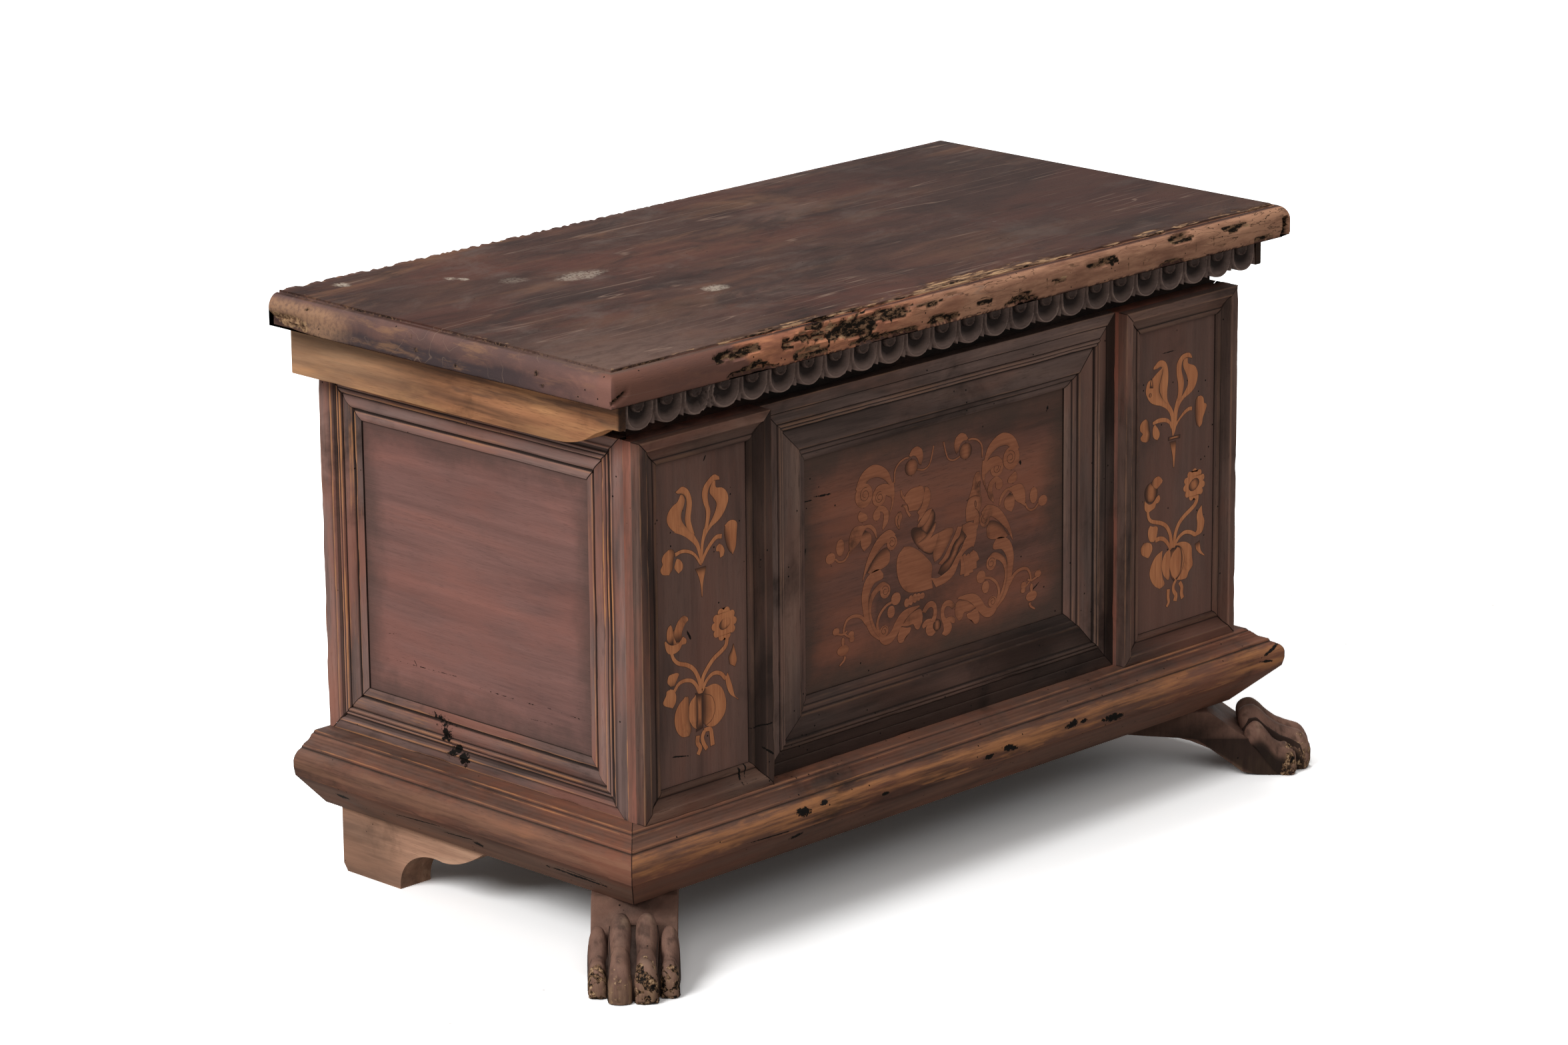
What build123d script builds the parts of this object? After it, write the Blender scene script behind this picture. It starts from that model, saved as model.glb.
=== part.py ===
from build123d import *
from math import sqrt
import os

# A small walnut cassone: breakfront carcass with applied mitred mouldings, a moulded plinth on lion-paw
# and bracket feet, and a hinged board lid. Millimetres; X along the front, -Y is the front, +Z is up.

os.makedirs("parts", exist_ok=True)

# Driving sizes
lid_length = 1000.0
lid_depth = 496.0
lid_thickness = 34.0
lid_side_overhang = 58.0
lid_front_overhang = 24.0
lid_back_overhang = 3.0
lid_field_inset = 15.0
lid_field_step = 2.0
lid_round_height = 16.0
foot_height = 73.0
base_height = 81.0
panelled_height = 385.0
rim_above_frames = 49.0
board_thickness = 20.0
pilaster_width = 179.0
pilaster_block_thickness = 18.0
pilaster_moulding_width = 28.0
centre_moulding_width = 70.0
end_moulding_width = 58.0
end_moulding_trim = 7.0
small_moulding_thickness = 12.0
centre_moulding_thickness = 16.0
panel_thickness = 3.0
base_reach = 49.0
cleat_thickness = 26.0
cleat_depth = 55.0
cleat_tip_height = 32.0
cleat_ogee_length = 96.0
strip_height = 34.0
strip_thickness = 24.0
strip_overhang = 5.0
strip_lap = 8.5
lobe_count = 24
paw_width = 90.0
paw_length = 247.0
paw_beyond_base = 18.4
paw_sole_length = 66.0
paw_knuckle_back = 64.0
paw_knuckle_height = 73.5
paw_plank_depth = 21.0
paw_plank_margin = 2.5
outer_toe_back = 12.0
outer_toe_share = 0.84
outer_toe_radius = 11.0
toe_overlap = 3.0
toe_joint_bulge = 0.3
bracket_length = 238.0
bracket_foot_width = 88.0
bracket_thickness = 41.0
bracket_inset = 2.0
bracket_back_inset = 15.0
bracket_arch_height = 43.0
hinge_spread = 520.0
hinge_width = 60.0
hinge_plate = 2.5
case_leaf_height = 62.0
lid_leaf_height = 24.0
knuckle_radius = 4.4
knuckle_drop = 2.0
knuckle_count = 3
pin_radius = 2.2
nail_radius = 3.2
nail_proud = 1.2

# Clearances
lid_gap = 0.5
cleat_gap = 4.0
pin_gap = 0.08
knuckle_gap = 0.6
hinge_gap = 0.3
panel_gap = 0.3

# Levels and planes that follow from them
base_bottom = foot_height
base_top = base_bottom + base_height
frame_top = base_top + panelled_height
lid_bottom = frame_top + rim_above_frames
rim_top = lid_bottom - lid_gap
case_half = lid_length / 2 - lid_side_overhang
board_half = case_half - small_moulding_thickness
pilaster_face = -lid_depth / 2 + lid_front_overhang
front_face = pilaster_face + pilaster_block_thickness + small_moulding_thickness
case_back = lid_depth / 2 - lid_back_overhang
base_backing = small_moulding_thickness
base_line = front_face - base_backing
floor_top = base_bottom + board_thickness
middle_half = case_half - pilaster_width
frame_middle = (base_top + frame_top) / 2


pieces = {}


def save(part, name):
    # One named solid, or one named set of like solids, kept until the whole is stood on its origin
    part.label = name
    pieces[name] = part


def length_of(outline, length, grow):
    # A straight length of moulding along X. Outline is (across, height); the ends are cut to 45 degrees,
    # so that the length grows or shrinks with the distance across by grow = 1 or -1.
    reach = length / 2 - 1 if grow < 0 else length
    with BuildPart() as piece:
        with BuildSketch(Plane.YZ):
            with BuildLine():
                outline()
            make_face()
        extrude(amount=length * 2, both=True)
        with BuildSketch():
            with BuildLine():
                Polyline(
                    (-length / 2 - grow * reach, reach),
                    (-length / 2 + grow * base_backing, -base_backing),
                    (length / 2 - grow * base_backing, -base_backing),
                    (length / 2 + grow * reach, reach),
                    close=True,
                )
            make_face()
        extrude(amount=lid_length, both=True, mode=Mode.INTERSECT)
    return piece.part


def framed(prefix, sides, outline, wide, high, where, trim=None):
    # Four mitred lengths round a rectangle on a board: bottom, right, top and left as seen from outside
    for turn, side in enumerate(sides):
        run, reach = (wide, high) if turn % 2 == 0 else (high, wide)
        with BuildPart() as piece:
            with Locations(where.location * Rot(0, 0, 90 * turn) * Pos(0, -reach / 2, 0)):
                add(length_of(outline, run, -1))
            if trim is not None:
                add(trim, mode=Mode.INTERSECT)
        save(piece.part, f"{prefix}_{side}")


# Lid: one board, moulded on the front and both ends, plain at the back
with BuildPart() as lid_board:
    with Locations((0, 0, lid_bottom)):
        Box(lid_length, lid_depth, lid_thickness, align=(Align.CENTER, Align.CENTER, Align.MIN))
    start = (-lid_length / 2, lid_depth / 2 + 1, lid_bottom + lid_thickness)
    with BuildLine() as edge_run:
        Polyline(
            start,
            (-lid_length / 2, -lid_depth / 2, start[2]),
            (lid_length / 2, -lid_depth / 2, start[2]),
            (lid_length / 2, lid_depth / 2 + 1, start[2]),
        )
    with BuildSketch(Plane(origin=start, x_dir=(-1, 0, 0), z_dir=(0, -1, 0))):
        with BuildLine():
            low = lid_field_step + lid_round_height
            Line((-lid_field_inset, -1), (-lid_field_inset, lid_field_step))
            ThreePointArc(
                (-lid_field_inset, lid_field_step),
                (-lid_field_inset * 0.293, lid_field_step + lid_round_height * 0.293),
                (0, low),
            )
            Polyline((0, low), (1, low), (1, -1), (-lid_field_inset, -1))
        make_face()
    sweep(path=edge_run.wires()[0], transition=Transition.RIGHT, mode=Mode.SUBTRACT)
save(lid_board.part, "lid_board")

# Cleats under the ends of the lid: an ogee rises to a thin front tip, and the tip is rebated for the strip
cleat_half = case_half + cleat_gap + cleat_thickness
strip_face = pilaster_face - strip_overhang
strip_half = cleat_half - strip_lap
for side, name in ((-1, "left_lid_cleat"), (1, "right_lid_cleat")):
    with BuildPart() as cleat:
        with BuildSketch(Plane.YZ.offset(side * cleat_half)):
            with BuildLine():
                tip = lid_bottom - cleat_tip_height
                low = lid_bottom - cleat_depth
                rise = strip_face + cleat_ogee_length
                Polyline((strip_face, tip), (strip_face, lid_bottom), (lid_depth / 2, lid_bottom))
                Polyline((lid_depth / 2, lid_bottom), (lid_depth / 2, low), (rise, low))
                Spline(
                    (rise, low),
                    (rise - cleat_ogee_length * 0.45, low + (tip - low) * 0.22),
                    (strip_face, tip),
                    tangents=((-1, 0), (-1, 0.35)),
                )
            make_face()
        extrude(amount=-side * cleat_thickness)
        with Locations((side * strip_half, strip_face, lid_bottom)):
            inwards = Align.MIN if side < 0 else Align.MAX
            Box(
                strip_lap * 4,
                strip_thickness * 2,
                cleat_depth * 3,
                align=(inwards, Align.CENTER, Align.CENTER),
                mode=Mode.SUBTRACT,
            )
    save(cleat.part, name)

# Carved strip under the front of the lid: a fillet over a row of scooped, round-ended lobes with darts between
fillet_height = strip_height * 0.22
lobe_pitch = 2 * strip_half / lobe_count
lobe_half = lobe_pitch * 0.43
lobe_proud = 4.0
strip_bottom = lid_bottom - strip_height
scoop_radius = lobe_half * 1.9
scoop_depth = 2.6
with BuildPart() as carved_strip:
    with Locations((0, strip_face, lid_bottom)):
        Box(2 * strip_half, strip_thickness, fillet_height, align=(Align.CENTER, Align.MIN, Align.MAX))
    with Locations((0, strip_face + lobe_proud, lid_bottom)):
        Box(
            2 * strip_half,
            strip_thickness - lobe_proud,
            strip_height - lobe_half * 0.45,
            align=(Align.CENTER, Align.MIN, Align.MAX),
        )
    with BuildSketch(Plane.XZ.offset(-strip_face)):
        with GridLocations(lobe_pitch, 0, lobe_count, 1):
            with Locations((0, strip_bottom + lobe_half)):
                Circle(lobe_half)
                Rectangle(2 * lobe_half, strip_height - lobe_half, align=(Align.CENTER, Align.MIN))
    extrude(amount=-strip_thickness)
    middle = strip_bottom + (strip_height - fillet_height) * 0.5
    with Locations((0, strip_face - scoop_radius + scoop_depth, middle)):
        with GridLocations(lobe_pitch, 0, lobe_count, 1):
            Sphere(scoop_radius, mode=Mode.SUBTRACT)
    with Locations((0, strip_face + scoop_depth, lid_bottom - fillet_height)):
        with GridLocations(lobe_pitch, 0, lobe_count, 1):
            Cylinder(lobe_half * 0.34, scoop_depth * 2, rotation=(90, 0, 0))
    with Locations((0, strip_face, lid_bottom)):
        Box(4 * strip_half, 99, 99, align=(Align.CENTER, Align.MAX, Align.CENTER), mode=Mode.SUBTRACT)
        Box(4 * strip_half, 999, 99, align=(Align.CENTER, Align.CENTER, Align.MIN), mode=Mode.SUBTRACT)
save(carved_strip.part, "carved_strip")

# Carcass boards; the back board lies between the ends of the plinth and behind the end mouldings
with BuildPart() as front_board:
    with Locations((0, front_face, floor_top)):
        Box(2 * board_half, board_thickness, rim_top - floor_top, align=(Align.CENTER, Align.MIN, Align.MIN))
save(front_board.part, "front_board")

with BuildPart() as back_board:
    with Locations((0, case_back, floor_top)):
        Box(2 * board_half, board_thickness, rim_top - floor_top, align=(Align.CENTER, Align.MAX, Align.MIN))
save(back_board.part, "back_board")

end_length = case_back - front_face - 2 * board_thickness
for side, name in ((-1, "left_end_board"), (1, "right_end_board")):
    with BuildPart() as end_board:
        with Locations((side * board_half, front_face + board_thickness, floor_top)):
            Box(
                board_thickness,
                end_length,
                rim_top - floor_top,
                align=(Align.MIN if side < 0 else Align.MAX, Align.MIN, Align.MIN),
            )
    save(end_board.part, name)

with BuildPart() as bottom_board:
    with Locations((0, front_face, base_bottom)):
        Box(2 * board_half, case_back - front_face, board_thickness, align=(Align.CENTER, Align.MIN, Align.MIN))
save(bottom_board.part, "bottom_board")


def pilaster_outline():
    # Flat outer band, a quirk, a hollow slope down to the panel and a small bead against it
    wide, thick = pilaster_moulding_width, small_moulding_thickness
    Polyline((wide, 0), (0, 0), (0, thick), (wide * 0.35, thick), (wide * 0.38, thick - 1.5))
    ThreePointArc((wide * 0.38, thick - 1.5), (wide * 0.55, thick - 4.2), (wide * 0.8, thick - 5.6))
    Polyline((wide * 0.8, thick - 5.6), (wide * 0.82, thick - 4.6), (wide * 0.95, thick - 5), (wide, thick - 7.5))
    Line((wide, thick - 7.5), (wide, 0))


def centre_outline():
    # From outside: two flat bands, a raised double bead, a broad inclined band and a stepped inner slip
    wide, thick = centre_moulding_width, centre_moulding_thickness
    across = wide / 70
    Polyline((wide, 0), (0, 0), (0, thick - 2.5), (12 * across, thick - 2.5), (12.6 * across, thick - 4))
    Polyline((12.6 * across, thick - 4), (13.4 * across, thick - 2.8), (23.6 * across, thick - 2.4))
    Line((23.6 * across, thick - 2.4), (24.2 * across, thick - 3.8))
    Line((24.2 * across, thick - 3.8), (24.6 * across, thick - 1.4))
    ThreePointArc((24.6 * across, thick - 1.4), (26.1 * across, thick - 0.2), (27.6 * across, thick - 1.4))
    Polyline((27.6 * across, thick - 1.4), (28 * across, thick - 2.6), (28.4 * across, thick - 1.8))
    ThreePointArc((28.4 * across, thick - 1.8), (29.7 * across, thick - 0.8), (31 * across, thick - 1.8))
    Line((31 * across, thick - 1.8), (31.2 * across, thick - 3.8))
    Polyline((31.2 * across, thick - 3.8), (32 * across, thick - 4.4), (55 * across, thick - 2.6))
    Polyline((55 * across, thick - 2.6), (56 * across, thick - 5), (61 * across, thick - 6))
    Polyline((61 * across, thick - 6), (61.8 * across, thick - 7.6), (66.5 * across, thick - 8.4))
    Polyline((66.5 * across, thick - 8.4), (wide, thick - 11), (wide, 0))


def end_outline():
    # From outside: flat band, arris, hollow, a bead between two quirks, a flat torus and an inner slip
    wide, thick = end_moulding_width, small_moulding_thickness
    across = wide / 58
    Polyline((wide, 0), (0, 0), (0, thick - 1), (17 * across, thick - 1), (17.5 * across, thick))
    Line((17.5 * across, thick), (18.7 * across, thick))
    ThreePointArc((18.7 * across, thick), (20.8 * across, thick - 3), (24.8 * across, thick - 4))
    Polyline((24.8 * across, thick - 4), (25.4 * across, thick - 2.6), (26.8 * across, thick - 2.6))
    Polyline((26.8 * across, thick - 2.6), (27.6 * across, thick - 3.4), (30.6 * across, thick - 1.4))
    Polyline((30.6 * across, thick - 1.4), (32 * across, thick - 1.6), (33 * across, thick - 5))
    ThreePointArc((33 * across, thick - 5), (39.5 * across, thick - 2.4), (46 * across, thick - 4.8))
    Polyline((46 * across, thick - 4.8), (46.8 * across, thick - 7.2), (49 * across, thick - 7.2))
    Polyline((49 * across, thick - 7.2), (49.6 * across, thick - 5.2), (55.6 * across, thick - 5.8))
    Polyline((55.6 * across, thick - 5.8), (wide, thick - 6.8), (wide, 0))


# Pilasters: a block on the front board, rebated for the front length of the end mouldings, a moulded frame on
# the block, and an inlaid panel inside the frame
for side, hand in ((-1, "left"), (1, "right")):
    middle = side * (case_half - pilaster_width / 2)
    with BuildPart() as pilaster_block:
        with Locations((middle, front_face, base_top)):
            Box(
                pilaster_width,
                pilaster_block_thickness,
                panelled_height,
                align=(Align.CENTER, Align.MAX, Align.MIN),
            )
        with Locations((side * case_half, front_face, base_top)):
            Box(
                2 * small_moulding_thickness,
                2 * end_moulding_trim,
                panelled_height,
                align=(Align.CENTER, Align.CENTER, Align.MIN),
                mode=Mode.SUBTRACT,
            )
    save(pilaster_block.part, f"{hand}_pilaster_block")
    on_block = Plane(
        origin=(middle, front_face - pilaster_block_thickness, frame_middle),
        x_dir=(1, 0, 0),
        z_dir=(0, -1, 0),
    )
    framed(
        f"{hand}_pilaster_moulding",
        ("bottom", "right", "top", "left"),
        pilaster_outline,
        pilaster_width,
        panelled_height,
        on_block,
    )
    with BuildPart() as pilaster_panel:
        with BuildSketch(on_block):
            Rectangle(
                pilaster_width - 2 * pilaster_moulding_width - panel_gap,
                panelled_height - 2 * pilaster_moulding_width - panel_gap,
            )
        extrude(amount=panel_thickness)
    save(pilaster_panel.part, f"{hand}_pilaster_panel")

# Centre of the front: a broad moulded frame and an inlaid panel on the front board between the pilasters
on_front = Plane(origin=(0, front_face, frame_middle), x_dir=(1, 0, 0), z_dir=(0, -1, 0))
framed(
    "centre_moulding",
    ("bottom", "right", "top", "left"),
    centre_outline,
    2 * middle_half,
    panelled_height,
    on_front,
)
with BuildPart() as centre_panel:
    with BuildSketch(on_front):
        Rectangle(
            2 * (middle_half - centre_moulding_width) - panel_gap,
            panelled_height - 2 * centre_moulding_width - panel_gap,
        )
    extrude(amount=panel_thickness)
save(centre_panel.part, "centre_panel")

# Ends: the mouldings are cut wide, lap into the pilaster block and are trimmed flush with the plinth and frame tops
end_wide = case_back - front_face + end_moulding_trim
end_high = panelled_height + 2 * end_moulding_trim
end_middle = (front_face - end_moulding_trim + case_back) / 2
for side, hand in ((-1, "left"), (1, "right")):
    on_end = Plane(origin=(side * board_half, end_middle, frame_middle), x_dir=(0, side, 0), z_dir=(side, 0, 0))
    with BuildPart() as kept:
        with Locations((side * case_half, front_face - end_moulding_trim, base_top)):
            Box(
                4 * small_moulding_thickness,
                case_back - front_face + end_moulding_trim,
                panelled_height,
                align=(Align.CENTER, Align.MIN, Align.MIN),
            )
    framed(
        f"{hand}_end_moulding",
        ("bottom", "front" if side < 0 else "back", "top", "back" if side < 0 else "front"),
        end_outline,
        end_wide,
        end_high,
        on_end,
        trim=kept.part,
    )
    with BuildPart() as end_panel:
        with BuildSketch(on_end):
            Rectangle(
                end_wide - 2 * end_moulding_width - panel_gap,
                end_high - 2 * end_moulding_width - panel_gap,
            )
        extrude(amount=panel_thickness)
    save(end_panel.part, f"{hand}_end_panel")


def base_outline():
    # From the top: fillet, step, hollow, second fillet, quirk, a bold rounded nose and a long under-chamfer
    out = base_reach / 49
    top = base_top
    Polyline((-base_backing, base_bottom), (-base_backing, top), (19.5 * out, top), (21 * out, top - 2.6))
    Line((21 * out, top - 2.6), (24 * out, top - 3.6))
    ThreePointArc((24 * out, top - 3.6), (27.5 * out, top - 7.6), (32 * out, top - 10.2))
    Polyline((32 * out, top - 10.2), (36.5 * out, top - 11.6), (37.5 * out, top - 14.6))
    Line((37.5 * out, top - 14.6), (43 * out, top - 17))
    ThreePointArc((43 * out, top - 17), (47.6 * out, top - 20.4), (base_reach, top - 26))
    Line((base_reach, top - 26), (base_reach, top - 33))
    Polyline((base_reach, top - 33), (47 * out, top - 42), (7 * out, base_bottom), (-base_backing, base_bottom))


# Plinth mouldings, mitred at the front corners and square at the back
with BuildPart() as front_base_moulding:
    with Locations(Location((0, base_line, 0), (0, 0, 180))):
        add(length_of(base_outline, 2 * case_half, 1))
save(front_base_moulding.part, "front_base_moulding")

for side, name in ((-1, "left_base_moulding"), (1, "right_base_moulding")):
    run = case_back - base_line
    with BuildPart() as side_base_moulding:
        with Locations(Location((side * case_half, base_line + run, 0), (0, 0, -side * 90))):
            add(length_of(base_outline, 2 * run, 1))
        split(bisect_by=Plane.XZ.offset(-case_back), keep=Keep.TOP)
    save(side_base_moulding.part, name)

# Front feet: a thick plank set on the diagonal, scooped underneath, with a four-toed lion's paw at its end
toe_radius = paw_width / 4 - outer_toe_radius + toe_overlap * 3 / 4
inner_toe_row = toe_radius - toe_overlap / 2
outer_toe_row = inner_toe_row + toe_radius + outer_toe_radius - toe_overlap
paw_tip = base_line - base_reach - paw_beyond_base
tip_half = case_half + base_reach + paw_beyond_base
plank_front = toe_radius * 1.6
plank_start = paw_knuckle_back * 1.75
scoop_top = foot_height - paw_plank_depth
scoop_run = paw_length - paw_sole_length
# The plane's X runs from the toe tips inwards, its Y is up, and it stands on the diagonal; the right foot mirrors the left
along = Plane(
    origin=(-tip_half, paw_tip, 0),
    x_dir=(1 / sqrt(2), 1 / sqrt(2), 0),
    z_dir=(1 / sqrt(2), -1 / sqrt(2), 0),
)
with BuildPart() as paw_foot:
    with BuildSketch(along):
        with BuildLine():
            Polyline((plank_front, toe_radius), (plank_front + 8, 0), (paw_sole_length, 0))
            Spline(
                (paw_sole_length, 0),
                (paw_sole_length + scoop_run * 0.07, scoop_top * 0.087),
                (paw_sole_length + scoop_run * 0.19, scoop_top * 0.36),
                (paw_sole_length + scoop_run * 0.42, scoop_top * 0.7),
                (paw_sole_length + scoop_run * 0.66, scoop_top * 0.87),
                (paw_length, scoop_top),
            )
            Polyline(
                (paw_length, scoop_top),
                (paw_length, foot_height),
                (plank_start, foot_height),
                (paw_knuckle_back * 1.1, foot_height * 0.58),
                (plank_front, paw_knuckle_height * 0.4),
                (plank_front, toe_radius),
            )
        make_face()
    extrude(amount=paw_width / 2 - paw_plank_margin, both=True)
    # Each toe is a run of straight rounds that overlap their neighbours, with a slightly fuller ball at every joint
    for row, outer in ((-outer_toe_row, 1), (-inner_toe_row, 0), (inner_toe_row, 0), (outer_toe_row, 1)):
        radius = outer_toe_radius if outer else toe_radius
        back = outer_toe_back * outer
        crest = paw_knuckle_height * (outer_toe_share if outer else 1) - radius - toe_joint_bulge
        toe_plane = along.offset(row)
        bends = [
            toe_plane.from_local_coords(Vector(run, height, 0))
            for run, height in (
                (paw_knuckle_back * 1.3, crest * 0.6),
                (paw_knuckle_back * 0.96, crest),
                (paw_knuckle_back * 0.46 + back * 0.6, crest * 0.6),
                (radius + 2 + back, crest * 0.42),
                (radius + 1 + back, radius + toe_joint_bulge),
            )
        ]
        for here, there in zip(bends, bends[1:]):
            with BuildSketch(Plane(here, z_dir=there - here)):
                Circle(radius)
            extrude(amount=(there - here).length)
        for bend in bends[1:]:
            with Locations(Location(bend)):
                Sphere(radius + toe_joint_bulge)
save(paw_foot.part, "left_paw_foot")
save(mirror(paw_foot.part, about=Plane.YZ), "right_paw_foot")

# Back feet: bracket planks in the plane of the ends, cut to a hollow and a lobe
bracket_out = case_half - bracket_inset
heel = case_back - bracket_back_inset
toe = heel - bracket_foot_width
front = case_back - bracket_length
reach = toe - front
lobe_drop = foot_height - bracket_arch_height
for side, name in ((-1, "left_back_foot"), (1, "right_back_foot")):
    with BuildPart() as back_foot:
        with BuildSketch(Plane.YZ.offset(side * bracket_out)):
            with BuildLine():
                Polyline((toe, 0), (heel - 6, 0), (heel, 8), (heel, foot_height), (front, foot_height))
                Spline(
                    (front, foot_height),
                    (front + reach * 0.11, foot_height - lobe_drop * 0.33),
                    (front + reach * 0.3, foot_height - lobe_drop * 0.76),
                    (front + reach * 0.52, foot_height - lobe_drop * 0.95),
                )
                Spline(
                    (front + reach * 0.52, foot_height - lobe_drop * 0.95),
                    (front + reach * 0.74, bracket_arch_height),
                    (front + reach * 0.91, bracket_arch_height * 0.72),
                    (toe, 0),
                )
            make_face()
        extrude(amount=-side * bracket_thickness)
    save(back_foot.part, name)

# Hinges: plain wrought butts at the back, pinned just behind the lower edge of the lid
knuckle_y = lid_depth / 2 + knuckle_radius + hinge_gap
knuckle_z = lid_bottom - knuckle_drop
leaf_top = knuckle_z - knuckle_radius + hinge_gap
leaf_foot = knuckle_z + knuckle_radius + hinge_gap
knuckle_pitch = hinge_width / knuckle_count
knuckle_length = knuckle_pitch - knuckle_gap
for side, hand in ((-1, "left"), (1, "right")):
    centre = side * hinge_spread / 2
    with BuildPart() as case_leaf:
        with Locations((centre, case_back, leaf_top)):
            Box(hinge_width, hinge_plate, case_leaf_height, align=(Align.CENTER, Align.MIN, Align.MAX))
        for step in (-1, 1):
            with Locations((centre + step * knuckle_pitch, knuckle_y, knuckle_z)):
                Cylinder(knuckle_radius, knuckle_length, rotation=(0, 90, 0))
            with Locations((centre + step * knuckle_pitch, case_back, leaf_top)):
                Box(
                    knuckle_length,
                    knuckle_y - case_back,
                    hinge_plate,
                    align=(Align.CENTER, Align.MIN, Align.CENTER),
                )
        with Locations((centre, knuckle_y, knuckle_z)):
            Cylinder(pin_radius, 2 * hinge_width, rotation=(0, 90, 0), mode=Mode.SUBTRACT)
    save(case_leaf.part, f"{hand}_hinge_case_leaf")

    with BuildPart() as lid_leaf:
        with Locations((centre, lid_depth / 2, leaf_foot)):
            Box(hinge_width, hinge_plate, lid_leaf_height, align=(Align.CENTER, Align.MIN, Align.MIN))
        with Locations((centre, lid_depth / 2, knuckle_z)):
            Box(
                knuckle_length,
                hinge_plate,
                leaf_foot + hinge_plate - knuckle_z,
                align=(Align.CENTER, Align.MIN, Align.MIN),
            )
        with Locations((centre, knuckle_y, knuckle_z)):
            Cylinder(knuckle_radius, knuckle_length, rotation=(0, 90, 0))
            Cylinder(pin_radius + pin_gap, 2 * hinge_width, rotation=(0, 90, 0), mode=Mode.SUBTRACT)
    save(lid_leaf.part, f"{hand}_hinge_lid_leaf")

with BuildPart() as hinge_pins:
    with Locations((-hinge_spread / 2, knuckle_y, knuckle_z), (hinge_spread / 2, knuckle_y, knuckle_z)):
        Cylinder(pin_radius, hinge_width, rotation=(0, 90, 0))
save(hinge_pins.part, "hinge_pins")

for name, level, back, rows in (
    ("case_hinge_nails", leaf_top - case_leaf_height / 2, case_back + hinge_plate, 2),
    ("lid_hinge_nails", leaf_foot + lid_leaf_height / 2, lid_depth / 2 + hinge_plate, 1),
):
    with BuildPart() as nails:
        with BuildSketch(Plane.XZ.offset(-back)):
            with Locations((-hinge_spread / 2, level), (hinge_spread / 2, level)):
                with GridLocations(hinge_width * 0.6, case_leaf_height * 0.5, 2, rows):
                    Circle(nail_radius)
        extrude(amount=-nail_proud)
    save(nails.part, name)

# Stand the whole on the middle of its footprint, with the floor at zero, and write the files
spans = [part.bounding_box() for part in pieces.values()]
middle_x = (min(span.min.X for span in spans) + max(span.max.X for span in spans)) / 2
middle_y = (min(span.min.Y for span in spans) + max(span.max.Y for span in spans)) / 2
lowest = min(span.min.Z for span in spans)
for name, part in pieces.items():
    placed = part.moved(Location((-middle_x, -middle_y, -lowest)))
    placed.label = name
    export_step(placed, f"parts/{name}.step")
print("stood on its origin from", round(middle_x, 4), round(middle_y, 4), round(lowest, 4))
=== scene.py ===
import bmesh
import bpy
import math
import numpy as np
from mathutils import Matrix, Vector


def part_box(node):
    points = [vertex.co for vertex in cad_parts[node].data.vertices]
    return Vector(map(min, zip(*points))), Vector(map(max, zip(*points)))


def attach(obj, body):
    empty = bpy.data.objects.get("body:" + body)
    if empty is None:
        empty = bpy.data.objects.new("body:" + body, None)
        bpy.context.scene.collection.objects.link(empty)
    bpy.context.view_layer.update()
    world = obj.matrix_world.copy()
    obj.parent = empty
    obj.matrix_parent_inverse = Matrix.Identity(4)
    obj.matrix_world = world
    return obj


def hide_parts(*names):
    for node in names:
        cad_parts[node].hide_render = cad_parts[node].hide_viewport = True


# A small walnut cassone: board lid with an eaten front edge, carved lobe strip, mitred frames,
# smoked marquetry panels, moulded plinth, lion-paw feet in front and bracket feet behind.

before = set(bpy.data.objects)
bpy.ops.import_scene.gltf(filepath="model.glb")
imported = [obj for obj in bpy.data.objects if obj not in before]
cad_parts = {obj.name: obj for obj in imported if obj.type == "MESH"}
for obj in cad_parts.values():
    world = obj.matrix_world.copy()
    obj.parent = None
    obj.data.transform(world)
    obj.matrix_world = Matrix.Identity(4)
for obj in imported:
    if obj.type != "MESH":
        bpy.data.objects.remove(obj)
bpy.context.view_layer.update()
print("frame loaded:", len(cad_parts), "nodes")


def nodeBox(name):
    low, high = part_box(name)
    return np.array(low), np.array(high)


# Node trees

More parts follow.
